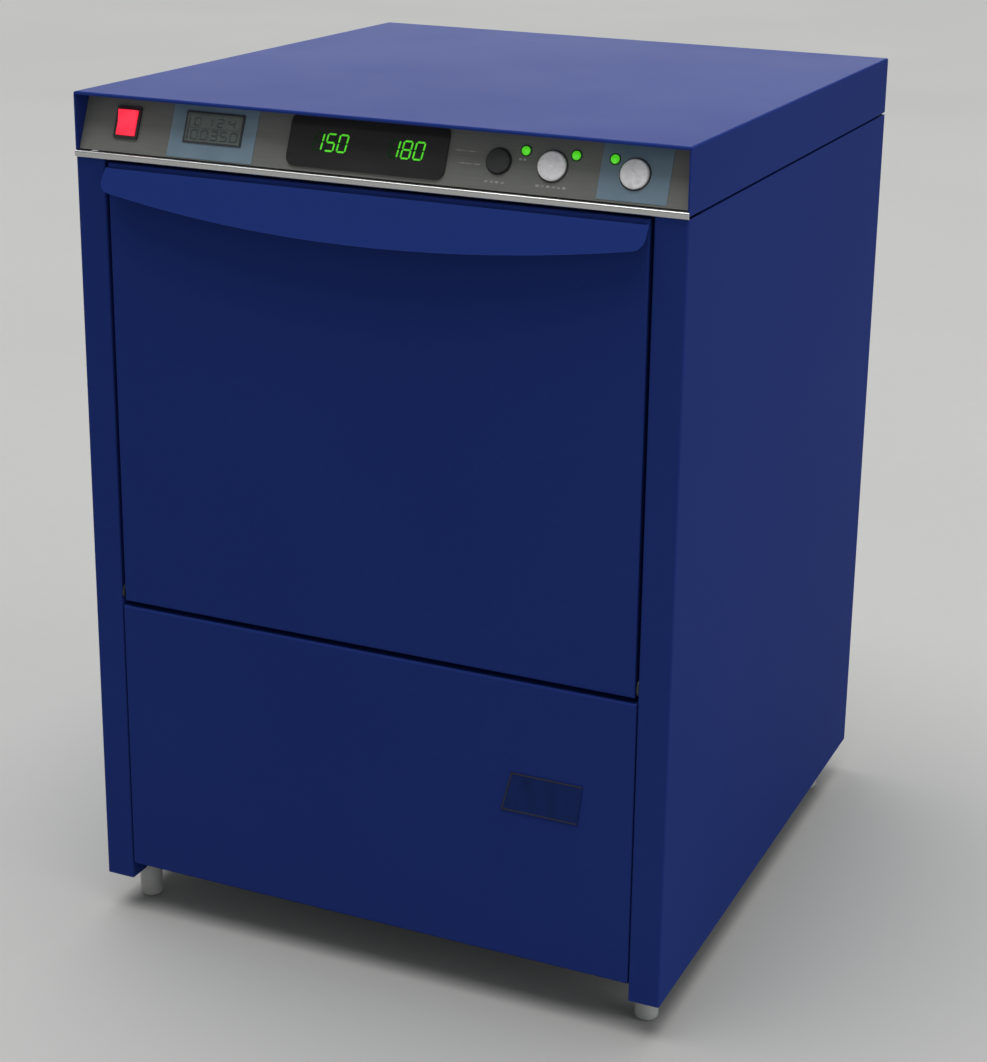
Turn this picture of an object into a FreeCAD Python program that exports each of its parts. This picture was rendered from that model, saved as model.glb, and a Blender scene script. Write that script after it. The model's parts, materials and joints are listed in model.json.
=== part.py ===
import FreeCAD, Part
import math
import os
import re
import Sketcher

# Under-counter glass washer, millimetres and degrees. +Z is up, the front faces -Y and the
# origin is on the floor, under the middle of the whole machine.

V = FreeCAD.Vector
DIMS = {
    # cabinet
    "cabinet_width": 610, "cabinet_depth": 640, "cabinet_top": 850, "underside": 38, "sheet": 1.5,
    "bend": 2, "post_width": 31, "post_return": 25, "kick_gap": 17, "panel_top": 341,
    "panel_joint": 1, "pan_return": 20, "hood_bottom": 791, "seam": 2.5, "joggle": 3, "hood_lip": 3,
    "tray_height": 58, "tray_rim": 30,
    # door and handle
    "door_gap": 3.5, "door_bottom": 346.5, "door_top": 786, "door_pan": 25, "door_depth": 40,
    "pivot_back": 10, "pivot_up": 8, "hinge_radius": 5, "running_gap": 0.05,
    "handle_proud": 27, "handle_top": 781, "handle_end": 762, "handle_low": 740, "handle_skin": 2,
    "liner_bottom": 362, "liner_side": 268, "lever_length": 60, "lever_inner": 286,
    "lever_thick": 4, "lever_half": 7.5, "spring_radius": 6.7, "spring_wire": 1.5,
    "spring_pitch": 7, "spring_foot": 106,
    # control panel; its own frame has u across, v up the slope and w out of the panel
    "trim_bottom": 788.5, "trim_top": 795, "trim_proud": 2, "fascia_tilt": 22, "fascia_back": 3,
    "fascia_tall": 57, "fascia_thick": 2, "overlay_thick": 0.4, "button_radius": 13,
    "button_gap": 0.5, "button_proud": 4, "dark_radius": 10.8,
    "control_row": 27, "lamp_row": 38.3, "rocker_row": 29.5, "lamp_radius": 4,
    "rocker_at": -255, "rocker_wide": 20, "rocker_tall": 24, "rocker_tilt": 7, "frame_wide": 26,
    "frame_tall": 31, "dark_at": 124.5, "cycle_at": 175, "start_at": 251,
    "lens_left": -83, "lens_right": 75, "lens_low": 5, "lens_high": 54, "lens_thick": 2,
    "lens_corner": 9, "left_foil_from": -208, "left_foil_to": -118, "right_foil_from": 219,
    "right_foil_to": 283, "window_from": -193, "window_to": -132, "window_low": 16.5,
    "window_high": 46, "window_rim": 3,
    # wash chamber
    "tank_half": 262, "tank_front": 46, "sill_front": 30, "tank_rear": 263.5, "tank_brim": 352,
    "tank_roof": 770, "sump_floor": 250, "sump_left": -180, "sump_right": 232, "sump_front": -180,
    "sump_rear": 232, "flange_half": 273, "shelf_height": 791.5, "seal_gap": 0.3,
    "seal_wide": 10, "seal_start": 368,
    "drain_at": 205, "drain_radius": 16, "strainer_height": 340, "rail_height": 440, "rail_wide": 26,
    # spray system
    "lower_shoulder": 383, "upper_shoulder": 766, "pipe_radius": 16, "spindle_radius": 10,
    "hub_tall": 20, "rinse_hub_tall": 14, "hub_gap": 0.5, "nut_tall": 11, "wash_reach": 240,
    "rinse_reach": 215, "arm_wide": 30, "arm_tall": 15, "rinse_tube": 5.5,
    # plumbing and electrics under the chamber
    "pump_height": 130, "pump_offset": -45, "volute_radius": 62, "volute_half": 25,
    "motor_radius": 54, "motor_length": 150, "shaft_radius": 6, "impeller_radius": 45,
    "hose_radius": 14, "hose_wall": 3, "booster_radius": 72, "booster_length": 290,
    "recess_top": 150, "recess_depth": 40, "inlet_radius": 13.2, "spigot_radius": 15, "gland_bore": 7,
    # feet, screws and the blank plate on the lower panel
    "foot_inset": 26, "foot_radius": 11.5, "foot_round": 4, "stem_radius": 5, "stem_top": 92,
    "screw_radius": 4, "head_proud": 1.5, "panel_screw_at": 235, "plate_from": 141,
    "plate_to": 218.5, "plate_low": 209, "plate_high": 249,
}

doc = FreeCAD.newDocument("GlassWasher")
sheet = doc.addObject("Spreadsheet::Sheet", "Dims")
for row, (word, size) in enumerate(DIMS.items(), start=1):
    sheet.set(f"A{row}", word)
    sheet.set(f"B{row}", str(size))
    sheet.setAlias(f"B{row}", word)
doc.recompute()

HALF = "(cabinet_width / 2)"
FRONT = "((handle_proud - cabinet_depth - head_proud) / 2)"
REAR = "((handle_proud + cabinet_depth - head_proud) / 2)"
DOOR_HALF = "(cabinet_width / 2 - post_width - door_gap)"
PIVOT_Y = f"({FRONT} + pivot_back)"
PIVOT_Z = "(door_bottom + pivot_up)"
NODES = []


# ---------------------------------------------------------------- helpers

def bind(text):
    """Expression for a property: every alias gets the sheet's name in front."""
    return re.sub(r"[a-z]\w*", lambda m: f"Dims.{m[0]}" if m[0] in DIMS else m[0], str(text))


def value(text):
    """Present value of an expression written with the sheet's aliases."""
    return float(sheet.evalExpression(str(text)))


def node(label, item):
    """Keep an object as one named sub-part."""
    item.Label = label
    NODES.append(item)
    return item


def move(item, x="0", y="0", z="0"):
    for axis, text in zip("xyz", (x, y, z)):
        item.setExpression(f"Placement.Base.{axis}", bind(text))
    return item


def turn(item, axis, angle):
    """Turn an object about its own origin; the angle may be an expression."""
    item.Placement = FreeCAD.Placement(item.Placement.Base, FreeCAD.Rotation(axis, 90))
    item.setExpression("Placement.Rotation.Angle", bind(angle))
    return item


def block(x, y, z):
    """Box between two corners, each side given as a pair of expressions."""
    item = doc.addObject("Part::Box", "Block")
    for size, (low, high) in zip(("Length", "Width", "Height"), (x, y, z)):
        item.setExpression(size, bind(f"({high}) - ({low})"))
    return move(item, x[0], y[0], z[0])


def rod(radius, length, x="0", y="0", z="0", axis="Z"):
    """Cylinder that starts at a point and runs along one axis."""
    item = doc.addObject("Part::Cylinder", "Rod")
    item.setExpression("Radius", bind(radius))
    item.setExpression("Height", bind(length))
    if axis == "X":
        turn(item, V(0, 1, 0), "90")
    if axis == "Y":
        turn(item, V(-1, 0, 0), "90")
    return move(item, x, y, z)


def fuse(*items):
    item = doc.addObject("Part::MultiFuse", "Fuse")
    item.Shapes = list(items)
    return item


def group(*items):
    """Separate solids that share one sub-part."""
    item = doc.addObject("Part::Compound", "Group")
    item.Links = list(items)
    return item


def cut(base, *tools):
    item = doc.addObject("Part::Cut", "Cut")
    item.Base = base
    item.Tool = tools[0] if len(tools) == 1 else fuse(*tools)
    return item


def common(*items):
    item = doc.addObject("Part::MultiCommon", "Common")
    item.Shapes = list(items)
    return item


def rounded(item, radius, choose):
    """Round the edges that choose(edge) picks from a primitive or boolean."""
    doc.recompute()
    picked = [i for i, edge in enumerate(item.Shape.Edges, start=1) if choose(edge)]
    result = doc.addObject("Part::Fillet", "Rounded")
    result.Base = item
    size = value(radius)
    result.Edges = [(i, size, size) for i in picked]
    return result


def parallel(axis):
    """Test for straight edges along one axis."""
    def test(edge):
        if edge.Curve.TypeId != "Part::GeomLine":
            return False
        return abs(abs(edge.tangentAt(edge.FirstParameter).dot(axis)) - 1) < 1e-6
    return test


def new_body(label):
    return node(label, doc.addObject("PartDesign::Body", label))


def sketch_on(body, role, lift):
    """Sketch parallel to one of the body's own origin planes."""
    item = body.newObject("Sketcher::SketchObject", f"{body.Name}_sketch")
    plane = next(feature for feature in body.Origin.OriginFeatures if feature.Role == role)
    item.AttachmentSupport = [(plane, "")]
    item.MapMode = "FlatFace"
    item.setExpression("AttachmentOffset.Base.z", bind(lift))
    return item


def outline(item, points):
    """Closed straight-sided outline whose corners are held by the sheet."""
    first = item.GeometryCount
    count = len(points)
    corners = [V(value(a), value(b), 0) for a, b in points]
    for i in range(count):
        item.addGeometry(Part.LineSegment(corners[i], corners[(i + 1) % count]), False)
    for i in range(count):
        after = first + (i + 1) % count
        item.addConstraint(Sketcher.Constraint("Coincident", first + i, 2, after, 1))
        for kind, text in zip(("DistanceX", "DistanceY"), points[i]):
            number = item.addConstraint(Sketcher.Constraint(kind, -1, 1, first + i, 1, value(text)))
            item.setExpression(f"Constraints[{number}]", bind(text))


def rectangle(x, y):
    return [(x[0], y[0]), (x[1], y[0]), (x[1], y[1]), (x[0], y[1])]


def extrude(body, role, points, low, high, kind="Pad"):
    """Pad, or pocket, of one outline or several nested ones between two heights along an axis."""
    lift = f"-({high})" if role == "XZ_Plane" else low
    drawing = sketch_on(body, role, lift)
    for loop in points if isinstance(points[0], list) else [points]:
        outline(drawing, loop)
    before = body.Shape.Volume if kind == "Pocket" else 0
    feature = body.newObject(f"PartDesign::{kind}", f"{body.Name}_{kind}")
    feature.Profile = drawing
    feature.Reversed = kind == "Pocket"
    feature.setExpression("Length", bind(f"({high}) - ({low})"))
    doc.recompute()
    if kind == "Pocket" and not body.Shape.Volume < before - 1e-3:
        raise RuntimeError(f"{body.Label}: a pocket removes nothing")
    return feature


def drill(body, role, centres, radius, low, high):
    """Round holes through a body, one circle each."""
    lift = f"-({high})" if role == "XZ_Plane" else low
    drawing = sketch_on(body, role, lift)
    for a, b in centres:
        number = drawing.addGeometry(Part.Circle(V(value(a), value(b), 0), V(0, 0, 1), value(radius)))
        size = drawing.addConstraint(Sketcher.Constraint("Radius", number, value(radius)))
        drawing.setExpression(f"Constraints[{size}]", bind(radius))
        for kind, text in (("DistanceX", a), ("DistanceY", b)):
            held = drawing.addConstraint(Sketcher.Constraint(kind, -1, 1, number, 3, value(text)))
            drawing.setExpression(f"Constraints[{held}]", bind(text))
    before = body.Shape.Volume
    feature = body.newObject("PartDesign::Pocket", f"{body.Name}_holes")
    feature.Profile = drawing
    feature.Reversed = True
    feature.setExpression("Length", bind(f"({high}) - ({low})"))
    doc.recompute()
    if not body.Shape.Volume < before - 1e-3:
        raise RuntimeError(f"{body.Label}: a hole removes nothing")


def round_over(body, radius, choose):
    """Fillet the chosen edges of a body's tip."""
    doc.recompute()
    tip = body.Tip
    picked = [f"Edge{i}" for i, edge in enumerate(tip.Shape.Edges, start=1) if choose(edge)]
    feature = body.newObject("PartDesign::Fillet", f"{body.Name}_fillet")
    feature.Base = (tip, picked)
    feature.setExpression("Radius", bind(radius))
    doc.recompute()


def turned_body(label, points):
    """Body of revolution about its own Z axis; points are (radius, height)."""
    body = doc.addObject("PartDesign::Body", label)
    drawing = sketch_on(body, "XZ_Plane", "0")
    outline(drawing, points)
    feature = body.newObject("PartDesign::Revolution", f"{label}_turn")
    feature.Profile = drawing
    feature.ReferenceAxis = (drawing, ["V_Axis"])
    feature.Angle = 360
    return body


def turned(label, points):
    return node(label, turned_body(label, points))


def pan(label, x, y, z, open_side):
    """Sheet pan: a block hollowed from one side, front bends rounded."""
    body = new_body(label)
    extrude(body, "XY_Plane", rectangle(x, y), z[0], z[1])
    round_over(body, "bend", lambda edge: edge.BoundBox.YMax < value(y[0]) + 0.01)
    inner_x = (f"{x[0]} + sheet", f"{x[1]} - sheet")
    inner_z = (f"{z[0]} + sheet", f"{z[1]} - sheet")
    inner_y = (f"{y[0]} + sheet", y[1]) if open_side == "rear" else (y[0], f"{y[1]} - sheet")
    extrude(body, "XY_Plane", rectangle(inner_x, inner_y), inner_z[0], inner_z[1], "Pocket")
    return body


def route(points, bend):
    """Wire of straight runs joined by tangent arcs of one radius."""
    nodes = [V(*(value(text) for text in point)) for point in points]
    radius = value(bend)
    edges = []
    start = nodes[0]
    for before, corner, after in zip(nodes, nodes[1:], nodes[2:]):
        arriving = (corner - before).normalize()
        leaving = (after - corner).normalize()
        half_turn = arriving.getAngle(leaving) / 2
        reach = radius * math.tan(half_turn)
        entry = corner - arriving * reach
        leave = corner + leaving * reach
        inward = (leaving - arriving).normalize()
        centre = corner + inward * (radius / math.cos(half_turn))
        middle = centre - inward * radius
        if start.distanceToPoint(entry) > 1e-6:
            edges.append(Part.LineSegment(start, entry).toShape())
        edges.append(Part.Arc(entry, middle, leave).toShape())
        start = leave
    edges.append(Part.LineSegment(start, nodes[-1]).toShape())
    return Part.Wire(edges)


def swept(path, radius):
    """Round bar along a wire, checked against its section times its length."""
    start = path.Edges[0]
    axis = start.tangentAt(start.FirstParameter)
    section = Part.Wire(Part.Circle(start.valueAt(start.FirstParameter), axis, radius).toShape())
    solid = path.makePipeShell([section], True, True)
    expected = math.pi * radius ** 2 * path.Length
    if abs(solid.Volume - expected) > 0.02 * expected:
        raise RuntimeError("a swept tube has the wrong volume")
    return solid


def tube(points, outer, bend, inner=None):
    """Bent tube, or bar where no inner radius is given."""
    item = doc.addObject("Part::Feature", "Tube")
    path = route(points, bend)
    solid = swept(path, value(outer))
    item.Shape = solid.cut(swept(path, value(inner))) if inner else solid
    return item


def on_fascia(item, u="0", v="0", tilt="0"):
    """Place an object modelled in the control panel's frame."""
    turn(item, V(1, 0, 0), f"90 - fascia_tilt + ({tilt})")
    slope_y = f"{FRONT} + fascia_back + ({v}) * sin(fascia_tilt)"
    slope_z = f"trim_top + ({v}) * cos(fascia_tilt)"
    return move(item, u, slope_y, slope_z)


# ---------------------------------------------------------------- cabinet

def side_panel(label, side):
    """Outer wall, front post with its return, rear flange and the joggle under the hood."""
    def mirrored(points):
        return [(f"{side} * ({a})", b) for a, b in points][::side]

    body = new_body(label)
    wall_x = f"{HALF} - sheet"
    post_x = f"{HALF} - post_width"
    section = [(HALF, FRONT), (HALF, REAR), (f"{HALF} - pan_return", REAR),
               (f"{HALF} - pan_return", f"{REAR} - sheet"), (wall_x, f"{REAR} - sheet"),
               (wall_x, f"{FRONT} + sheet"), (f"{post_x} + sheet", f"{FRONT} + sheet"),
               (f"{post_x} + sheet", f"{FRONT} + post_return"), (post_x, f"{FRONT} + post_return"),
               (post_x, FRONT)]
    extrude(body, "XY_Plane", mirrored(section), "underside", "hood_bottom - seam")
    round_over(body, "bend", lambda edge: parallel(V(0, 0, 1))(edge)
               and edge.BoundBox.YMax < value(FRONT) + 0.01)
    wall_top = "hood_bottom - seam"
    tuck = f"{HALF} - sheet - joggle"
    neck = [(HALF, wall_top), (tuck, wall_top), (tuck, "hood_bottom + pan_return"),
            (f"{tuck} - sheet", "hood_bottom + pan_return"), (f"{tuck} - sheet", f"{wall_top} - sheet"),
            (HALF, f"{wall_top} - sheet")]
    extrude(body, "XZ_Plane", mirrored(neck), f"{FRONT} + 2 * pan_return", f"{REAR} - pan_return")
    # clearance hole for the hinge bush in the post's return
    low, high = sorted((f"{side} * ({post_x} - sheet)", f"{side} * ({post_x} + 3 * sheet)"), key=value)
    drill(body, "YZ_Plane", [(PIVOT_Y, PIVOT_Z)], "hinge_radius + 3", low, high)


def top_cover():
    """Hood: top sheet, two cheeks, rear return and a narrow front lip."""
    body = new_body("top_cover")
    extrude(body, "XY_Plane", rectangle((f"-{HALF}", HALF), (FRONT, REAR)), "hood_bottom", "cabinet_top")
    round_over(body, "bend", lambda edge: edge.BoundBox.ZMin > value("cabinet_top") - 0.01)
    extrude(body, "XY_Plane", rectangle((f"-{HALF} + sheet", f"{HALF} - sheet"),
                                        (f"{FRONT} + sheet", f"{REAR} - sheet")),
            "hood_bottom", "cabinet_top - sheet", "Pocket")
    extrude(body, "XY_Plane", rectangle((f"-{HALF} + sheet", f"{HALF} - sheet"),
                                        (FRONT, f"{FRONT} + sheet")),
            "hood_bottom", "cabinet_top - hood_lip", "Pocket")


def rear_panel():
    """Flat sheet inside the rear flanges, with louvre slots and a turned-in lower edge."""
    body = new_body("rear_panel")
    plane = (f"{REAR} - 2 * sheet", f"{REAR} - sheet")
    side = f"{HALF} - sheet - 1"
    extrude(body, "XY_Plane", rectangle((f"-({side})", side), plane), "recess_top", "hood_bottom - 1")
    extrude(body, "XY_Plane", rectangle((f"-({side})", side), (f"{REAR} - recess_depth", plane[0])),
            "recess_top", "recess_top + sheet")
    slot_half = 45
    for column in (-1, 1):
        for slot in range(5):
            low = f"cabinet_top - {150 + 14 * slot}"
            middle = 130 * column
            extrude(body, "XZ_Plane",
                    rectangle((f"{middle} - {slot_half}", f"{middle} + {slot_half}"),
                              (low, f"{low} + 5")), plane[0], plane[1], "Pocket")


def service_plate():
    """Recessed plate at the foot of the back that carries the connections."""
    body = new_body("service_plate")
    plane = (f"{REAR} - recess_depth - sheet", f"{REAR} - recess_depth")
    side = f"{HALF} - sheet - 1"
    extrude(body, "XY_Plane", rectangle((f"-({side})", side), plane), "tray_height + sheet",
            "recess_top + sheet")
    for x, radius in CONNECTIONS.values():
        drill(body, "XZ_Plane", [(x, CONNECTION_Z)], radius, plane[0], plane[1])


def base_frame():
    """Tray with raised rims, and a boss with a threaded bore over each foot."""
    outer_x = (f"-{HALF} + sheet", f"{HALF} - sheet")
    outer_y = (f"{FRONT} + post_return + 0.5", f"{REAR} - recess_depth - sheet")
    body = new_body("base_frame")
    extrude(body, "XY_Plane", rectangle(outer_x, outer_y), "tray_height", "tray_height + tray_rim")
    extrude(body, "XY_Plane", rectangle((f"{outer_x[0]} + sheet", f"{outer_x[1]} - sheet"),
                                        (f"{outer_y[0]} + sheet", f"{outer_y[1]} - sheet")),
            "tray_height + sheet", "tray_height + tray_rim", "Pocket")
    for x, y in FEET.values():
        boss = [(f"{x} - 14", f"{y} - 14"), (f"{x} + 14", f"{y} - 14"), (f"{x} + 14", f"{y} + 14"),
                (f"{x} - 14", f"{y} + 14")]
        extrude(body, "XY_Plane", boss, "tray_height", "tray_height + 14")
    drill(body, "XY_Plane", list(FEET.values()), "stem_radius + running_gap", "tray_height",
          "tray_height + 14")
    for side in (-1, 1):
        low, high = lever_plane(side)
        lug_z = ("tray_height + 16", "spring_foot - spring_wire - 0.5")
        extrude(body, "YZ_Plane", rectangle((f"{PIVOT_Y} - 6", f"{outer_y[0]} + sheet"), lug_z), low, high)


def lever_plane(side):
    """Low and high x of the spring lever on one side."""
    ends = (f"{side} * lever_inner", f"{side} * (lever_inner + lever_thick)")
    return sorted(ends, key=value)


def lower_front_panel():
    edge = f"({HALF} - post_width - panel_joint)"
    pan("lower_front_panel", (f"-{edge}", edge), (FRONT, f"{FRONT} + pan_return"),
        ("underside + kick_gap", "panel_top"), "rear")


def name_plate():
    """Blank slanted plate on the lower front panel."""
    body = new_body("name_plate")
    corners = [("plate_from", "plate_low"), ("plate_to", "plate_low"), ("plate_to + 4.5", "plate_high"),
               ("plate_from + 10", "plate_high")]
    extrude(body, "XZ_Plane", corners, f"{FRONT} - 1", FRONT)


def foot(label, x, y):
    """Straight round foot with a rounded lower edge, on its threaded stem."""
    foot_top = "tray_height - 2"
    body = turned(label, [("0", "0"), ("foot_radius", "0"), ("foot_radius", foot_top),
                          ("stem_radius", foot_top), ("stem_radius", "stem_top"), ("0", "stem_top")])
    round_over(body, "foot_round", lambda edge: edge.BoundBox.ZMax < 0.01
               and edge.Curve.TypeId == "Part::GeomCircle")
    move(body, x, y)


def cabinet_screws():
    """Heads of the screws in the rear flanges, and of the one under the lower panel's edge."""
    heads = []
    for side in (-1, 1):
        for step in range(4):
            heads.append(rod("screw_radius", "head_proud", f"{side} * ({HALF} - 11)", REAR,
                             f"200 + {170 * step}", "Y"))
    under = rod("screw_radius", "head_proud", "panel_screw_at", f"{FRONT} + pan_return / 2",
                "underside + kick_gap - head_proud")
    node("cabinet_screws", group(under, *[soft_head(head) for head in heads]))


def soft_head(head):
    """Slightly domed head: the rim of the outer edge is rounded."""
    return rounded(head, "head_proud / 2", lambda edge: edge.BoundBox.YMin > value(REAR) + 0.5
                   and edge.Curve.TypeId == "Part::GeomCircle")


# ---------------------------------------------------------------- control panel

def fascia_trim():
    """Bright strip: rounded nose in front, thin ledge back to the panel."""
    body = new_body("fascia_trim")
    extrude(body, "YZ_Plane", rectangle((f"{FRONT} - trim_proud", FRONT), ("trim_bottom", "trim_top")),
            f"-{HALF}", HALF)
    round_over(body, "trim_proud - 0.2", lambda edge: parallel(V(1, 0, 0))(edge)
               and edge.BoundBox.YMax < value(FRONT) - 0.01)
    extrude(body, "YZ_Plane", rectangle((FRONT, f"{FRONT} + fascia_back"),
                                        ("trim_top - sheet", "trim_top")),
            f"-{HALF} + sheet + 0.3", f"{HALF} - sheet - 0.3")


def control_fascia():
    """Sloping panel with its windows and button holes."""
    body = new_body("control_fascia")
    edge = f"({HALF} - sheet - 0.3)"
    extrude(body, "XY_Plane", rectangle((f"-{edge}", edge), ("1", "fascia_tall")), "-fascia_thick", "0")
    low, high = "-fascia_thick", "0"
    extrude(body, "XY_Plane",
            rectangle(("rocker_at - frame_wide / 2 + 1", "rocker_at + frame_wide / 2 - 1"),
                      ("rocker_row - frame_tall / 2 + 1", "rocker_row + frame_tall / 2 - 1")),
            low, high, "Pocket")
    extrude(body, "XY_Plane",
            rectangle(("lens_left + 20", "lens_right - 14"), ("lens_low + 10", "lens_high - 10")),
            low, high, "Pocket")
    for centre, radius in BUTTONS.values():
        drill(body, "XY_Plane", [(centre, "control_row")], f"{radius} + button_gap", low, high)
    drill(body, "XY_Plane", LAMPS, "lamp_radius - 1", low, high)
    on_fascia(body)


def fascia_overlays():
    """Two printed-foil patches: one round the counter, one round the start button."""
    left = block(("left_foil_from", "left_foil_to"), ("2", "fascia_tall - 4"), ("0", "overlay_thick"))
    left_hole = block(("window_from + 2", "window_to - 2"), ("window_low + 2", "window_high - 2"),
                      ("-1", "2"))
    right = block(("right_foil_from", "right_foil_to"), ("3", "fascia_tall - 3.5"), ("0", "overlay_thick"))
    start_hole = rod("button_radius + button_gap", "3", "start_at", "control_row", "-1")
    lamp_hole = rod("lamp_radius - 1", "3", LAMPS[2][0], LAMPS[2][1], "-1")
    patches = group(cut(left, left_hole), cut(right, start_hole, lamp_hole))
    on_fascia(node("fascia_overlays", patches))


def counter_window():
    """Cycle-counter display: thin raised frame round a flush window."""
    frame = block(("window_from", "window_to"), ("window_low", "window_high"),
                  ("overlay_thick", "overlay_thick + 1"))
    opening = block(("window_from + window_rim", "window_to - window_rim"),
                    ("window_low + window_rim", "window_high - window_rim"), ("0", "overlay_thick + 2"))
    pane = block(("window_from + 2.1", "window_to - 2.1"), ("window_low + 2.1", "window_high - 2.1"),
                 ("0", "overlay_thick"))
    on_fascia(node("counter_window", fuse(cut(frame, opening), pane)))


def display_lens():
    """Dark lens with rounded corners over the two temperature read-outs."""
    plate = block(("lens_left", "lens_right"), ("lens_low", "lens_high"), ("0", "lens_thick"))
    corners = rounded(plate, "lens_corner", parallel(V(0, 0, 1)))
    on_fascia(node("display_lens", corners))


def control_board():
    """Circuit board behind the panel, with the two digit modules facing the lens."""
    board = block(("-100", "200"), ("11", "50"), ("-26", "-24.4"))
    left = block(("-60", "-14"), ("19", "42"), ("-24.4", "-5"))
    right = block(("14", "60"), ("19", "42"), ("-24.4", "-5"))
    chip = block(("85", "110"), ("14", "38"), ("-30", "-26"))
    on_fascia(node("control_board", fuse(board, left, right, chip)))


def power_switch():
    """Snap-in frame of the rocker switch and the rocker itself."""
    outer = block(("-frame_wide / 2", "frame_wide / 2"), ("-frame_tall / 2", "frame_tall / 2"),
                  ("0", "2"))
    barrel = block(("-frame_wide / 2 + 1.2", "frame_wide / 2 - 1.2"),
                   ("-frame_tall / 2 + 1.2", "frame_tall / 2 - 1.2"), ("-26", "0"))
    mouth = block(("-rocker_wide / 2 - 0.4", "rocker_wide / 2 + 0.4"),
                  ("-rocker_tall / 2 - 0.8", "rocker_tall / 2 + 0.8"), ("-10", "3"))
    lip = rounded(outer, "2", parallel(V(0, 0, 1)))
    on_fascia(node("power_switch_frame", cut(fuse(lip, barrel), mouth)), "rocker_at", "rocker_row")
    rocker = new_body("power_rocker")
    face = [("-rocker_tall / 2", "-1"), ("0", "-7"), ("rocker_tall / 2", "-1"), ("rocker_tall / 2", "4.5"),
            ("0", "3.2"), ("-rocker_tall / 2", "4.5")]
    extrude(rocker, "YZ_Plane", face, "-rocker_wide / 2", "rocker_wide / 2")
    round_over(rocker, "0.8", lambda edge: edge.BoundBox.ZMin > 3)
    on_fascia(rocker, "rocker_at", "rocker_row", "rocker_tilt")


def push_button(label, centre, radius):
    """Round cap with a plunger behind it; it slides along the panel's normal."""
    skirt = "-fascia_thick - 4"
    body = turned(label, [("0", "-14"), ("3", "-14"), ("3", skirt), (radius, skirt),
                          (radius, "button_proud - 1"), (f"{radius} - 1", "button_proud"),
                          ("0", "button_proud + 0.6")])
    on_fascia(body, centre, "control_row")


def button_switches():
    """One snap-action switch behind each push button."""
    parts = []
    for centre, radius in BUTTONS.values():
        box = block((f"{centre} - 9", f"{centre} + 9"), ("control_row - 9", "control_row + 9"),
                    ("-24.4", "-10"))
        bore = rod("3.5", "8", centre, "control_row", "-17")
        parts.append(cut(box, bore))
    on_fascia(node("button_switches", group(*parts)))


def indicator_lamps():
    """Domed lamps seated in the panel."""
    parts = []
    for u, v in LAMPS:
        parts.append(fuse(rod("lamp_radius - 1.1", "6 + 2 * overlay_thick", u, v, "-6"), dome(u, v)))
    on_fascia(node("indicator_lamps", group(*parts)))


def dome(u, v):
    """Low round head of one lamp."""
    ball = doc.addObject("Part::Sphere", "Dome")
    ball.setExpression("Radius", bind("lamp_radius"))
    ball.Angle1 = 0
    return move(ball, u, v, "overlay_thick")


# ---------------------------------------------------------------- door

def door_outer_panel():
    body = pan("door_outer_panel", (f"-{DOOR_HALF}", DOOR_HALF), (FRONT, f"{FRONT} + door_pan"),
               ("door_bottom", "door_top"), "rear")
    drill(body, "YZ_Plane", [(PIVOT_Y, PIVOT_Z)], "hinge_radius + 0.1", f"-{DOOR_HALF} - 1",
          f"{DOOR_HALF} + 1")


def door_liner():
    """Inner pan that faces the wash chamber, with a shallow pressed field."""
    body = new_body("door_liner")
    across = ("-liner_side", "liner_side")
    deep = (f"{FRONT} + door_pan", f"{FRONT} + door_depth")
    extrude(body, "XY_Plane", rectangle(across, deep), "liner_bottom", "door_top - 2")
    round_over(body, "bend", lambda edge: edge.BoundBox.YMin > value(deep[1]) - 0.01)
    field_x = ("-liner_side + 45", "liner_side - 45")
    field_z = ("liner_bottom + 40", "door_top - 50")
    floor = f"{deep[1]} - 5"
    extrude(body, "XY_Plane", rectangle(field_x, (floor, deep[1])), *field_z, "Pocket")
    inside_x = ("-liner_side + sheet", "liner_side - sheet")
    extrude(body, "XY_Plane", rectangle(inside_x, (deep[0], f"{floor} - sheet")),
            "liner_bottom + sheet", "door_top - 2 - sheet", "Pocket")
    rim = [rectangle(inside_x, ("liner_bottom + sheet", "door_top - 2 - sheet")),
           rectangle((f"{field_x[0]} - sheet", f"{field_x[1]} + sheet"),
                     (f"{field_z[0]} - sheet", f"{field_z[1]} + sheet"))]
    extrude(body, "XZ_Plane", rim, f"{floor} - sheet", f"{deep[1]} - sheet", "Pocket")


def door_handle():
    """Full-width lip that flares out and down; its free edge is a shallow arc."""
    tip_proud = "(handle_proud + 3 * (handle_proud - 23) / (handle_end - handle_low))"
    section = new_profile("handle_section", [
        (FRONT, "handle_top + 1"), (f"{FRONT} - 8", "handle_top"), (f"{FRONT} - 23", "handle_end"),
        (f"{FRONT} - {tip_proud}", "handle_low - 3"),
        (f"{FRONT} - {tip_proud} + handle_skin", "handle_low - 3"),
        (f"{FRONT} - 23 + handle_skin", "handle_end - 1"), (f"{FRONT} - 7", "handle_top - 2.5"),
        (FRONT, "handle_top - 1.5")])
    sagitta = "(handle_end - handle_low)"
    sweep_radius = f"(({DOOR_HALF} ^ 2 + {sagitta} ^ 2) / (2 * {sagitta}))"
    arc = rod(sweep_radius, "2 * handle_proud", "0", f"{FRONT} - 2 * handle_proud + 1",
              f"handle_low + {sweep_radius}", "Y")
    slab = block((f"-{DOOR_HALF}", DOOR_HALF), (f"{FRONT} - 2 * handle_proud", f"{FRONT} + 1"),
                 ("handle_low - 2", "handle_top + 5"))
    rounded_slab = common(slab, arc)
    corner = value("handle_end") + 3
    soft = rounded(rounded_slab, "9", lambda edge: parallel(V(0, 1, 0))(edge)
                   and edge.BoundBox.ZMax < corner)
    node("door_handle", common(section, soft))


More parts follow.
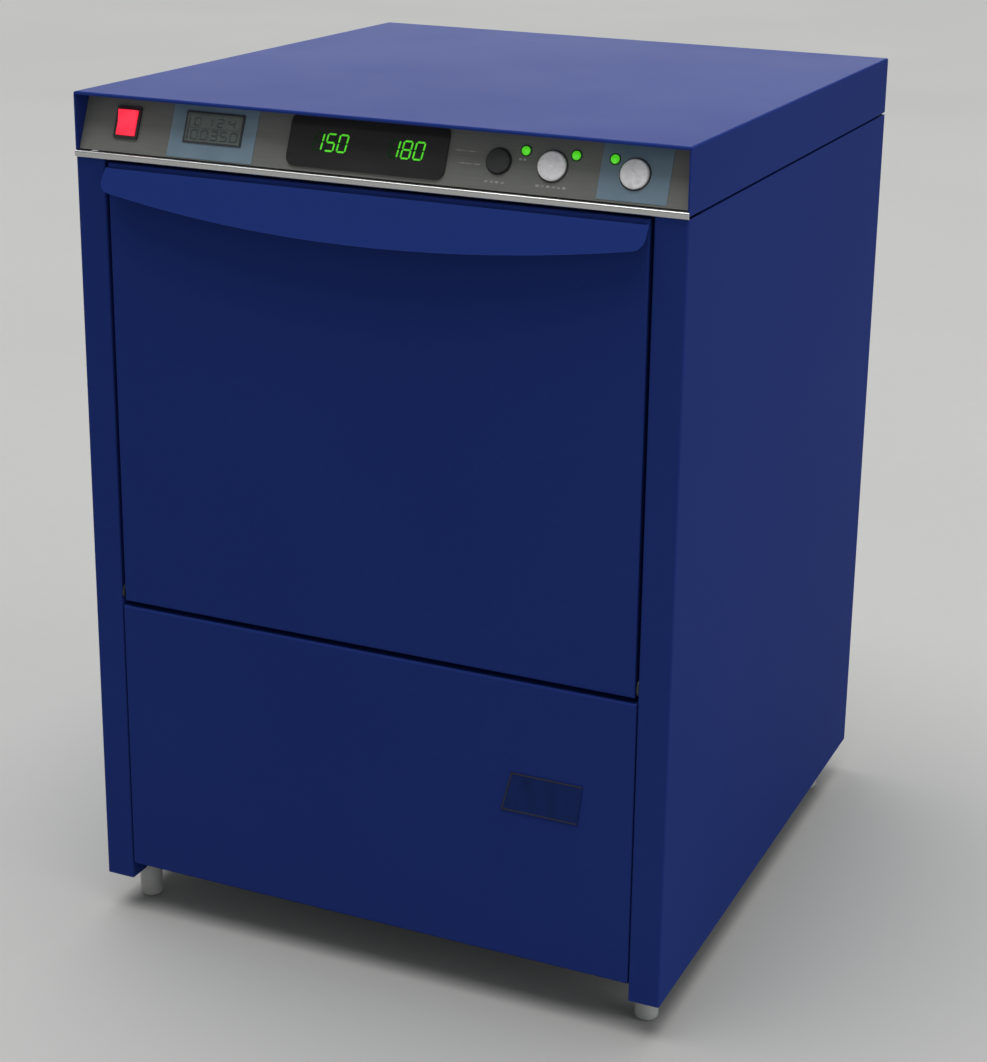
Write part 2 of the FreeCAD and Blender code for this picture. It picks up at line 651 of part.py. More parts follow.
def new_profile(name, points):
    """Prism with a section in the YZ plane, as wide as the door."""
    body = doc.addObject("PartDesign::Body", name)
    extrude(body, "YZ_Plane", points, f"-{DOOR_HALF}", DOOR_HALF)
    return body


def hinge_arms():
    """On each side: the door's hinge pin and the lever that the spring pulls."""
    parts = []
    for side in (-1, 1):
        start = f"{DOOR_HALF} - 8" if side > 0 else f"-{DOOR_HALF} + 8 - 34"
        pin = rod("hinge_radius", "34", start, PIVOT_Y, PIVOT_Z, "X")
        low, high = lever_plane(side)
        plate = block((low, high), (f"{PIVOT_Y} - lever_half", f"{PIVOT_Y} + lever_half"),
                      (f"{PIVOT_Z} - lever_length - lever_half", f"{PIVOT_Z} + lever_half"))
        plate = rounded(plate, "lever_half - 0.5", parallel(V(1, 0, 0)))
        hook = rod("2.5", "lever_thick + 2", low, PIVOT_Y, f"{PIVOT_Z} - lever_length", "X")
        parts.append(cut(fuse(pin, plate), hook))
    node("hinge_arms", group(*parts))


def hinge_bushes():
    """Flanged plastic bushes in the posts; the pins run in them."""
    parts = []
    post_x = f"({HALF} - post_width)"
    for side in (-1, 1):
        starts = (f"{post_x} - 2", post_x) if side > 0 else (f"-{post_x}", f"-{post_x} - 6")
        flange = rod("hinge_radius + 4", "2", starts[0], PIVOT_Y, PIVOT_Z, "X")
        sleeve = rod("hinge_radius + 3", "6", starts[1], PIVOT_Y, PIVOT_Z, "X")
        bore = rod("hinge_radius + running_gap", "20", f"{side} * {post_x} - 10", PIVOT_Y, PIVOT_Z, "X")
        parts.append(cut(fuse(flange, sleeve), bore))
    node("hinge_bushes", group(*parts))


def door_springs():
    """Extension springs from the levers down to the tray's rim."""
    parts = []
    top = value(f"{PIVOT_Z} - lever_length - lever_half - spring_wire - 1")
    bottom = value("spring_foot")
    for side in (-1, 1):
        centre = V(side * value("lever_inner + lever_thick / 2"), value(PIVOT_Y), bottom)
        helix = Part.makeHelix(value("spring_pitch"), top - bottom, value("spring_radius"))
        section = Part.Circle(V(value("spring_radius"), 0, 0), V(0, 1, 0), value("spring_wire"))
        quarters = [section.toShape(math.pi * i / 2, math.pi * (i + 1) / 2) for i in range(4)]
        coil = Part.Wire(helix.Edges).makePipeShell([Part.Wire(quarters)], True, True)
        item = doc.addObject("Part::Feature", "Spring")
        item.Shape = coil
        item.Placement = FreeCAD.Placement(centre, FreeCAD.Rotation())
        parts.append(item)
    node("door_springs", group(*parts))


def door_seal():
    """Rubber strip on three sides of the chamber's mouth."""
    deep = (f"{FRONT} + door_depth + seal_gap", f"{FRONT} + tank_front")
    outer = block(("-tank_half - seal_wide", "tank_half + seal_wide"), deep,
                  ("seal_start", "tank_roof + seal_wide"))
    inner = block(("-tank_half", "tank_half"), (f"{FRONT}", f"{FRONT} + 2 * tank_front"),
                  ("seal_start - 1", "tank_roof"))
    node("door_seal", cut(outer, inner))


def door_magnet_and_switch():
    """Magnet in the door's head and the sealed reed switch that it works."""
    x = ("-206", "-180")
    node("door_magnet", block(x, (f"{FRONT} + 8", f"{FRONT} + 20"), ("door_top - 14", "door_top - sheet")))
    node("door_switch", block(x, (f"{FRONT} + 10", f"{FRONT} + 28"), ("door_top + 1.3", "shelf_height")))


# ---------------------------------------------------------------- wash chamber

def tapered(low, high, z):
    """Block whose plan changes evenly from one rectangle to another."""
    item = doc.addObject("Part::Wedge", "Tapered")
    names = (("Xmin", low[0][0]), ("Xmax", low[0][1]), ("Zmin", f"-({low[1][1]})"),
             ("Zmax", f"-({low[1][0]})"), ("X2min", high[0][0]), ("X2max", high[0][1]),
             ("Z2min", f"-({high[1][1]})"), ("Z2max", f"-({high[1][0]})"), ("Ymin", z[0]),
             ("Ymax", z[1]))
    for name, text in names:
        setattr(item, name, value(text))
        item.setExpression(name, bind(text))
    return turn(item, V(1, 0, 0), "90")


def wash_tank():
    """Welded stainless chamber over a tapered sump, open in front."""
    def hull(grow, mouth):
        mouth_y = f"{FRONT} + tank_front - ({mouth})"
        upper = block((f"-tank_half + {grow}", f"tank_half - {grow}"),
                      (mouth_y, f"tank_rear - {grow}"), ("tank_brim", f"tank_roof - {grow}"))
        brim = ((f"-tank_half + {grow}", f"tank_half - {grow}"),
                (f"{FRONT} + sill_front + {grow}", f"tank_rear - {grow}"))
        sump = ((f"sump_left + 1.5 * {grow}", f"sump_right - 1.2 * {grow}"),
                (f"sump_front + 1.8 * {grow}", f"sump_rear - 1.2 * {grow}"))
        return upper, tapered(sump, brim, (f"sump_floor + {grow}", "tank_brim"))

    outer_upper, outer_sump = hull("0", "0")
    inner_upper, inner_sump = hull("sheet", "1")
    flange = block(("-flange_half", "flange_half"),
                   (f"{FRONT} + tank_front", f"{FRONT} + tank_front + sheet"),
                   ("tank_brim", "shelf_height + sheet"))
    shelf = block(("-flange_half", "flange_half"), (f"{FRONT} + 2", f"{FRONT} + tank_front"),
                  ("shelf_height", "shelf_height + sheet"))
    drain = rod("drain_radius + sheet", "30", "drain_at", "drain_at", "sump_floor - 30")
    inner_drain = rod("drain_radius", "34", "drain_at", "drain_at", "sump_floor - 31")
    feed = rod("pipe_radius", "20", "0", "0", "sump_floor - 10")
    roof = rod("pipe_radius", "20", "0", "0", "tank_roof - 10")
    suction = rod("hose_radius - hose_wall", "20", "90", "pump_offset", "sump_floor - 10")
    heater_legs = [rod("4.25", "20", x, "90", "sump_floor - 10") for x in ("-150", "-90")]
    shell = fuse(outer_upper, outer_sump, flange, shelf, drain)
    hollow = fuse(inner_upper, inner_sump, inner_drain, feed, roof, suction, *heater_legs)
    node("wash_tank", cut(shell, hollow))


def tank_strainer():
    """Two lift-out trays over the sump, notched round the feed pipe and the standpipe."""
    z = ("strainer_height", "strainer_height + sheet")
    deep = (f"{FRONT} + sill_front + 15", "tank_rear - 11")
    below = "strainer_height - 5"
    trays = []
    for side, edge in ((-1, "tank_half - 13"), (1, "tank_half - 8")):
        plate = block(sorted((f"{side} * 0.5", f"{side} * ({edge})"), key=value), deep, z)
        grip = block(sorted((f"{side} * 60", f"{side} * 140"), key=value), ("-14", "-12.5"),
                     ("strainer_height", "strainer_height + 22"))
        notches = [rod("pipe_radius + 4", "20", "0", "0", below)]
        if side > 0:
            notches.append(rod("drain_radius + 4", "20", "drain_at", "drain_at", below))
        trays.append(cut(fuse(plate, grip), *notches))
    node("tank_strainer", group(*trays))


def overflow_standpipe():
    """Lift-out tube that stands in the drain and sets the water level."""
    body = turned("overflow_standpipe", [
        ("10", "0"), ("drain_radius - 0.6", "0"), ("drain_radius - 0.6", "6"),
        ("drain_radius + 4", "6"), ("drain_radius + 4", "9"), ("13", "12"), ("13", "125"),
        ("15", "127"), ("15", "135"), ("10", "135")])
    move(body, "drain_at", "drain_at", "sump_floor + sheet - 5.8")


def rack_guides():
    """Two angle rails that carry the glass rack."""
    parts = []
    for side in (-1, 1):
        wall = f"{side} * (tank_half - sheet)"
        low, high = sorted((wall, f"{side} * (tank_half - sheet - rail_wide)"), key=value)
        ledge = block((low, high), ("-245", "250"), ("rail_height", "rail_height + sheet"))
        low, high = sorted((wall, f"{side} * (tank_half - 2 * sheet)"), key=value)
        web = block((low, high), ("-245", "250"), ("rail_height", "rail_height + 25"))
        parts.append(fuse(ledge, web))
    node("rack_guides", group(*parts))


def heating_element():
    """Sheathed loop over the sump floor, both ends through the floor."""
    high = "sump_floor + 28"
    low = "sump_floor - 14"
    loop = tube([("-150", "90", low), ("-150", "90", high), ("-150", "-130", high), ("-90", "-130", high),
                 ("-90", "90", high), ("-90", "90", low)], "4.2", "16")
    node("heating_element", loop)


# ---------------------------------------------------------------- spray system

def spray_set(level, shoulder, flip, angles):
    """Wash arm and rinse arm of one level; returns its feed pipe and its spindle nut."""
    below = "lower_shoulder - sump_floor + 34" if level == "lower" else "34"
    hub_low = "hub_gap"
    rinse_low = "2 * hub_gap + hub_tall"
    nut_low = "3 * hub_gap + hub_tall + rinse_hub_tall"
    feed = turned_body(f"{level}_feed_pipe", [
        ("7", f"-({below})"), ("pipe_radius - 0.1", f"-({below})"), ("pipe_radius - 0.1", "0"),
        ("spindle_radius", "0"), ("spindle_radius", f"{nut_low} + nut_tall"),
        ("7", f"{nut_low} + nut_tall")])
    wash = spray_arm(f"{level}_wash_arm", "wash_reach", "arm_wide", "arm_tall", hub_low, "hub_tall", 22)
    rinse = spray_arm(f"{level}_rinse_arm", "rinse_reach", "2 * rinse_tube", "2 * rinse_tube",
                      rinse_low, "rinse_hub_tall", 16)
    nut = rod("spindle_radius + 5", "nut_tall", "0", "0", nut_low)
    hole = rod("spindle_radius + 0.02", "nut_tall + 2", "0", "0", f"{nut_low} - 1")
    cap = cut(nut, hole)
    for item, angle in ((feed, 0), (wash, angles[0]), (rinse, angles[1]), (cap, 0)):
        spin = FreeCAD.Rotation(V(0, 0, 1), angle)
        tip = FreeCAD.Rotation(V(1, 0, 0), 180 if flip else 0)
        item.Placement = FreeCAD.Placement(V(0, 0, 0), spin * tip)
        move(item, "0", "0", shoulder)
    return feed, cap


def spray_arm(label, reach, wide, tall, low, hub_height, hub_radius):
    """Two-ended arm with a round hub, tapered in plan, with soft edges."""
    body = new_body(label)
    base = f"{low} + ({hub_height} - {tall}) / 2"
    narrow = f"{wide} * 0.36"
    plan = [(f"-{reach}", f"-{narrow}"), (f"-{reach} / 4", f"-{wide} / 2"), (f"{reach} / 4", f"-{wide} / 2"),
            (reach, f"-{narrow}"), (reach, narrow), (f"{reach} / 4", f"{wide} / 2"),
            (f"-{reach} / 4", f"{wide} / 2"), (f"-{reach}", narrow)]
    extrude(body, "XY_Plane", plan, base, f"{base} + {tall}")
    round_over(body, f"{tall} * 0.3", lambda edge: True)
    hub = sketch_on(body, "XY_Plane", low)
    for radius in (str(hub_radius), "spindle_radius + running_gap"):
        number = hub.addGeometry(Part.Circle(V(0, 0, 0), V(0, 0, 1), value(radius)))
        hub.addConstraint(Sketcher.Constraint("Coincident", number, 3, -1, 1))
        size = hub.addConstraint(Sketcher.Constraint("Radius", number, value(radius)))
        hub.setExpression(f"Constraints[{size}]", bind(radius))
    ring = body.newObject("PartDesign::Pad", f"{label}_hub")
    ring.Profile = hub
    ring.setExpression("Length", bind(hub_height))
    doc.recompute()
    drill(body, "XY_Plane", [("0", "0")], "spindle_radius + running_gap", f"{low} - 1",
          f"{low} + {hub_height} + 1")
    return body


# ---------------------------------------------------------------- plumbing

def wash_pump():
    """Canned motor, volute with an upward outlet, and the rotor that turns in both."""
    rear = "-volute_half - motor_length"
    at = ("pump_offset", "pump_height")
    can = rod("motor_radius", "motor_length", rear, *at, "X")
    foot_plate = block(("-volute_half - motor_length + 20", "-volute_half - 20"),
                       ("pump_offset - 50", "pump_offset + 50"),
                       ("tray_height + sheet", "pump_height - motor_radius + 6"))
    shaft_bore = rod("shaft_radius + running_gap", "motor_length + 4", f"{rear} + 12", *at, "X")
    node("pump_motor", cut(fuse(can, foot_plate), shaft_bore))
    casing = rod("volute_radius", "2 * volute_half", "-volute_half", *at, "X")
    chamber = rod("volute_radius - 5", "2 * volute_half - 10", "-volute_half + 5", *at, "X")
    outlet_z = "sump_floor - 34 - pump_height"
    outlet = rod("pipe_radius", outlet_z, "0", "0", "pump_height")
    outlet_bore = rod("pipe_radius - 3", f"{outlet_z} + 2", "0", "0", "pump_height")
    branch = rod("hose_radius", "60", "0", "0", "pump_height + 62", "Y")
    branch_bore = rod("hose_radius - 3", "61", "0", "0", "pump_height + 62", "Y")
    inlet = rod("hose_radius", "22", "volute_half", *at, "X")
    inlet_bore = rod("hose_radius - 3", "40", "volute_half - 8", *at, "X")
    seal_bore = rod("shaft_radius + running_gap", "8", "-volute_half - 1", *at, "X")
    node("pump_volute", cut(fuse(casing, outlet, branch, inlet), chamber, outlet_bore, branch_bore,
                            inlet_bore, seal_bore))
    shaft = rod("shaft_radius", "motor_length + 16", f"{rear} + 14", *at, "X")
    disc = rod("impeller_radius", "6", "-9", *at, "X")
    vanes = [rotor_vane(36 * index) for index in range(5)]
    node("pump_rotor", fuse(shaft, disc, *vanes))


def rotor_vane(angle):
    """One straight vane across the impeller's face."""
    vane = block(("-3", "9"), ("-impeller_radius + 2", "impeller_radius - 2"), ("-1.5", "1.5"))
    vane = group(vane)
    turn(vane, V(1, 0, 0), str(angle))
    return move(vane, "0", "pump_offset", "pump_height")


def hoses():
    """Suction hose from the sump to the pump, and the wash hose over the chamber's back."""
    outer = "hose_radius"
    inner = "hose_radius - hose_wall"
    suction = tube([("volute_half + 22", "pump_offset", "pump_height"), ("90", "pump_offset", "pump_height"),
                    ("90", "pump_offset", "sump_floor")], outer, "24", inner)
    up = "(tank_rear + 34)"
    rise = "pump_height + 62"
    over = "tank_roof + 61"
    riser = tube([("0", "60", rise), ("0", up, rise), ("0", up, over), ("0", "0", over),
                  ("0", "0", "upper_shoulder + 34")], outer, "27", inner)
    node("wash_hoses", group(suction, riser))


def drain_line():
    """Hose from the sump's drain to the spigot at the back."""
    x, radius = CONNECTIONS["drain_spigot"]
    hose = tube([("drain_at", "drain_at", "sump_floor - 30"), ("drain_at", "drain_at", "sump_floor - 72"),
                 ("drain_at", "drain_at + 36", CONNECTION_Z), ("drain_at", f"{REAR} - recess_depth - 22",
                                                              CONNECTION_Z)], "16", "16", "12.5")
    node("drain_hose", hose)
    face = f"{REAR} - recess_depth"
    spigot = rod("spigot_radius", "36", x, face, CONNECTION_Z, "Y")
    collar = rod("spigot_radius + 7", "4", x, face, CONNECTION_Z, "Y")
    neck = rod(radius, "22", x, f"{face} - 22", CONNECTION_Z, "Y")
    bore = rod("spigot_radius - 3", "70", x, f"{face} - 25", CONNECTION_Z, "Y")
    node("drain_spigot", cut(fuse(spigot, collar, neck), bore))


def water_valve():
    """Inlet solenoid valve: threaded nose through the plate, body and coil inside."""
    x, radius = CONNECTIONS["water_valve"]
    face = f"{REAR} - recess_depth"
    nose = rod("inlet_radius", "26", x, face, CONNECTION_Z, "Y")
    neck = rod(radius, "16", x, f"{face} - 16", CONNECTION_Z, "Y")
    collar = rod("inlet_radius + 4", "4", x, face, CONNECTION_Z, "Y")
    housing = block((f"{x} - 18", f"{x} + 18"), (f"{face} - 50", f"{face} - 12"),
                    (f"{CONNECTION_Z} - 18", f"{CONNECTION_Z} + 18"))
    coil = rod("15", "26", x, f"{face} - 34", f"{CONNECTION_Z} + 18")
    bore = rod("inlet_radius - 4", "40", x, f"{face} - 12", CONNECTION_Z, "Y")
    node("water_valve", cut(fuse(nose, neck, collar, housing, coil), bore))


def cable_gland():
    """Gland for the supply cable; the cable itself isn't part of the machine."""
    x, radius = CONNECTIONS["cable_gland"]
    face = f"{REAR} - recess_depth"
    dome_nut = rod("14", "18", x, face, CONNECTION_Z, "Y")
    neck = rod(radius, "14", x, f"{face} - 14", CONNECTION_Z, "Y")
    bore = rod("gland_bore", "50", x, f"{face} - 20", CONNECTION_Z, "Y")
    node("cable_gland", cut(fuse(dome_nut, neck), bore))


def rinse_booster():
    """Booster tank on two saddles, with the pipe that feeds the rinse arms."""
    front = "-20 - booster_length / 2"
    x = "190"
    can = rod("booster_radius", "booster_length", x, front, "tray_height + sheet + 10 + booster_radius", "Y")
    can = rounded(can, "14", lambda edge: edge.Curve.TypeId == "Part::GeomCircle")
    water = rod("booster_radius - 2", "booster_length - 4", x, f"{front} + 2",
                "tray_height + sheet + 10 + booster_radius", "Y")
    water = rounded(water, "12.5", lambda edge: edge.Curve.TypeId == "Part::GeomCircle")
    port = rod("4", "booster_radius + 10", x, "60", "tray_height + sheet + 10 + booster_radius")
    saddles = [block((f"{x} - 45", f"{x} + 45"), (y, f"{y} + 20"),
                     ("tray_height + sheet", "tray_height + sheet + 34")) for y in ("-130", "70")]
    node("rinse_booster", cut(fuse(can, *saddles), water, port))
    top = "tray_height + sheet + 10 + 2 * booster_radius"
    up = "(tank_rear + 34)"
    over = "tank_roof + 18"
    pipe = tube([("190", "60", top), ("190", "60", "sump_floor - 15"), ("150", "60", "sump_floor - 15"),
                 ("150", up, "sump_floor - 15"), ("150", up, over), ("30", up, over),
                 ("30", "0", over), ("pipe_radius - 0.1", "0", over)], "5", "8", "4")
    node("rinse_pipe", pipe)


def dosing_pumps():
    """Two peristaltic pumps behind the front panel, each with its own roller rotor."""
    housings = []
    for label, x in (("detergent_rotor", "-235"), ("rinse_aid_rotor", "-160")):
        box = block((f"{x} - 30", f"{x} + 30"), (f"{FRONT} + 60", f"{FRONT} + 110"), ("88", "148"))
        head = rod("27", "22", x, f"{FRONT} + 38", "118", "Y")
        race = rod("22", "18", x, f"{FRONT} + 38", "118", "Y")
        journal = rod("4 + running_gap", "22", x, f"{FRONT} + 54", "118", "Y")
        housings.append(cut(fuse(box, head), fuse(race, journal)))
        axle = rod("4", "30", x, f"{FRONT} + 41", "118", "Y")
        carrier = rod("9", "12", x, f"{FRONT} + 41", "118", "Y")
        arm = block((f"{x} - 15", f"{x} + 15"), (f"{FRONT} + 43", f"{FRONT} + 51"), ("115", "121"))
        rollers = [rod("5", "12", f"{x} + {side * 15}", f"{FRONT} + 41", "118", "Y") for side in (-1, 1)]
        node(label, fuse(axle, carrier, arm, *rollers))
    feet = [block((f"{x} - 25", f"{x} + 25"), (f"{FRONT} + 62", f"{FRONT} + 108"),
                  ("tray_height + sheet", "88")) for x in ("-235", "-160")]
    node("dosing_pumps", group(*[fuse(housing, base) for housing, base in zip(housings, feet)]))


def contactor():
    """Heater contactor on the tray, left of the pump."""
    base = block(("-290", "-230"), ("60", "130"), ("tray_height + sheet", "tray_height + sheet + 62"))
    step = block(("-282", "-238"), ("72", "118"), ("tray_height + sheet + 62", "tray_height + sheet + 82"))
    node("contactor", fuse(base, step))


BUTTONS = {
    "drain_button": ("dark_at", "dark_radius"),
    "cycle_button": ("cycle_at", "button_radius"),
    "start_button": ("start_at", "button_radius"),
}
LAMPS = [("cycle_at - 26.5", "lamp_row"), ("cycle_at + 20.5", "lamp_row"), ("start_at - 20", "lamp_row")]
CONNECTION_Z = "108"
CONNECTIONS = {
    "drain_spigot": ("drain_at", "spigot_radius - 0.2"),
    "water_valve": ("40", "inlet_radius - 1.2"),
    "cable_gland": ("-200", "gland_bore + 3"),
}
FEET = {
    "front_left_foot": (f"-({HALF} - foot_inset)", f"{FRONT} + foot_inset + 14"),
    "front_right_foot": (f"{HALF} - foot_inset", f"{FRONT} + foot_inset + 14"),
    "rear_left_foot": (f"-({HALF} - foot_inset)", f"{REAR} - recess_depth - foot_inset"),
    "rear_right_foot": (f"{HALF} - foot_inset", f"{REAR} - recess_depth - foot_inset"),
}

# ---------------------------------------------------------------- assembly

side_panel("left_side_panel", -1)
side_panel("right_side_panel", 1)
top_cover()
rear_panel()
service_plate()
base_frame()
lower_front_panel()
name_plate()
for label, (x, y) in FEET.items():
    foot(label, x, y)
cabinet_screws()
fascia_trim()
control_fascia()
fascia_overlays()
counter_window()
display_lens()
control_board()
power_switch()
for label, (centre, radius) in BUTTONS.items():
    push_button(label, centre, radius)
button_switches()
indicator_lamps()
door_outer_panel()
door_liner()
door_handle()
hinge_arms()
hinge_bushes()
door_springs()
door_seal()
door_magnet_and_switch()
wash_tank()
tank_strainer()
overflow_standpipe()
rack_guides()
heating_element()
lower_feed, lower_nut = spray_set("lower", "lower_shoulder", False, (12, 78))
upper_feed, upper_nut = spray_set("upper", "upper_shoulder", True, (-35, 60))
node("feed_pipes", group(lower_feed, upper_feed))
node("spindle_nuts", group(lower_nut, upper_nut))
wash_pump()
hoses()
drain_line()
water_valve()
cable_gland()
rinse_booster()
dosing_pumps()
contactor()
doc.recompute()

# ---------------------------------------------------------------- checks and files

for item in doc.Objects:
    if {"Invalid", "Error"} & set(item.State):
        raise RuntimeError(f"{item.Label} failed: {item.State}")
for item in NODES:
    if item.Shape.isNull() or not item.Shape.isValid():
        raise RuntimeError(f"{item.Label} has a bad shape")
os.makedirs("parts", exist_ok=True)
for item in NODES:
    item.Shape.exportStep(f"parts/{item.Label}.step")
print(len(NODES), "sub-parts")
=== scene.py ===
import bmesh
import bpy
import json
import math
import random
from mathutils import Matrix, Vector
from mathutils.geometry import delaunay_2d_cdt


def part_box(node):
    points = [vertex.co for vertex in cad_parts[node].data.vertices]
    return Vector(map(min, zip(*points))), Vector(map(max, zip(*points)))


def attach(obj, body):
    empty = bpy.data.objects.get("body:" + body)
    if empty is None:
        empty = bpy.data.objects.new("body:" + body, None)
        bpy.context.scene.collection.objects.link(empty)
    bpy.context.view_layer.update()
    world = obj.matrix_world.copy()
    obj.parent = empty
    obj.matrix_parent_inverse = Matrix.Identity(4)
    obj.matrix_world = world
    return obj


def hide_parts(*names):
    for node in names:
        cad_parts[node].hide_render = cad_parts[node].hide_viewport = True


# Looks of the under-counter glass washer. Shapes are written in millimetres in the CAD frame, or
# in the control panel's own frame (u across, v up the slope, w out of the panel), and become metres
# when a piece is made.

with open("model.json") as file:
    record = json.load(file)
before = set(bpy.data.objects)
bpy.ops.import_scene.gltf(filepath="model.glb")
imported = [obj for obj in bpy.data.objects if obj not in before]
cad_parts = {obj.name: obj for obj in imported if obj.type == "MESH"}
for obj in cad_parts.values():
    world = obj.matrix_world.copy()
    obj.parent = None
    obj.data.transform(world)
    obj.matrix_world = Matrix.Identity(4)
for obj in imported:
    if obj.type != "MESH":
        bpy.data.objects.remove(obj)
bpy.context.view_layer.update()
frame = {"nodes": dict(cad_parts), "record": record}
NODES = frame["nodes"]
SLOTS = {part["node"]: part["material_slot"] for part in frame["record"]["subparts"]}
random.seed(7)

MM = 0.001
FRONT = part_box("lower_front_panel")[0].y / MM
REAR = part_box("right_side_panel")[1].y / MM
TRIM_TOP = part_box("fascia_trim")[1].z / MM
FASCIA_TILT = math.radians(22)
FASCIA_BACK = 3
CONTROL_ROW = 27
LAMP_ROW = 38.3
BUTTONS = {"drain_button": (124.5, 10.8), "cycle_button": (175, 13), "start_button": (251, 13)}
LAMPS = (148.5, 195.5, 231)
SHEET = 1.5
SERVICE_RECESS = 40
STANDPIPE = (205, 205)
PUMP_AXIS = (-45, 130)
HOSE_RADIUS = 14
DRAIN_HOSE_RADIUS = 16
GRIP_ROW = -13
GRIP_SPAN = (60, 140)


# ---------------------------------------------------------------- shapes

def plain():
    """From millimetres in the CAD frame to metres."""
    return Matrix.Scale(MM, 4)


def panel():
    """From millimetres in the control panel's frame to metres in the CAD frame."""
    slope, rise = math.sin(FASCIA_TILT), math.cos(FASCIA_TILT)
    turned = Matrix(((1, 0, 0, 0),
                     (0, slope, -rise, FRONT + FASCIA_BACK),
                     (0, rise, slope, TRIM_TOP),
                     (0, 0, 0, 1)))
    return Matrix.Scale(MM, 4) @ turned


def piece(name, shape, look, body="cabinet", place=None, smooth=False):
    """Turn a bmesh into an object that rides on a body and takes the given material."""
    shape.transform(place or plain())
    bmesh.ops.recalc_face_normals(shape, faces=shape.faces)
    mesh = bpy.data.meshes.new(name)
    shape.to_mesh(mesh)
    shape.free()
    mesh.materials.append(look)
    item = bpy.data.objects.new(name, mesh)
    bpy.context.scene.collection.objects.link(item)
    if smooth:
        mesh.shade_smooth()
        mesh.set_sharp_from_angle(angle=math.radians(35))
    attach(item, body)
    return item


def prism(shape, outline, low, high, soft=0.0, segments=2):
    """Add an extruded outline between two heights; soft rounds its upper edges."""
    floor = [shape.verts.new((x, y, low)) for x, y in outline]
    roof = [shape.verts.new((x, y, high)) for x, y in outline]
    shape.faces.new(floor[::-1])
    top = shape.faces.new(roof)
    count = len(outline)
    for i in range(count):
        j = (i + 1) % count
        shape.faces.new((floor[i], floor[j], roof[j], roof[i]))
    if soft:
        bmesh.ops.bevel(shape, geom=list(top.edges), offset=soft, segments=segments, profile=0.6,
                        affect="EDGES")


def box_outline(x, y):
    return [(x[0], y[0]), (x[1], y[0]), (x[1], y[1]), (x[0], y[1])]


def slab(shape, x, y, z, soft=0.0):
    prism(shape, box_outline(x, y), z[0], z[1], soft)


def lathe(shape, profile, place=None, sides=32):
    """Turn (radius, height) points about the local Z axis."""
    rings = []
    for radius, height in profile:
        if radius == 0:
            rings.append([shape.verts.new((0, 0, height))])
        else:
            angles = [2 * math.pi * i / sides for i in range(sides)]
            rings.append([shape.verts.new((radius * math.cos(a), radius * math.sin(a), height))
                          for a in angles])
    for lower, upper in zip(rings, rings[1:]):
        for i in range(sides):
            j = (i + 1) % sides
            corners = [lower[i % len(lower)], lower[j % len(lower)], upper[j % len(upper)],
                       upper[i % len(upper)]]
            corners = list(dict.fromkeys(corners))
            if len(corners) > 2:
                shape.faces.new(corners)
    if place:
        bmesh.ops.transform(shape, matrix=place, verts=[v for ring in rings for v in ring])


def ring(shape, inner, outer, low, high, place=None, sides=48):
    """Add a flat washer shape whose outer upper edge is slightly eased."""
    ease = min(0.25 * (outer - inner), 0.3 * (high - low))
    lathe(shape, [(inner, low), (outer, low), (outer, high - ease), (outer - ease, high), (inner, high),
                  (inner, low)], place, sides)


def at(x, y, z):
    return Matrix.Translation((x, y, z))


def along(axis, x, y, z):
    """Local Z turned onto a main axis, at a point."""
    turn = {"X": Matrix.Rotation(math.pi / 2, 4, "Y"), "Y": Matrix.Rotation(-math.pi / 2, 4, "X"),
            "Z": Matrix.Identity(4), "-Z": Matrix.Rotation(math.pi, 4, "X")}[axis]
    return at(x, y, z) @ turn


# ---------------------------------------------------------------- material helpers

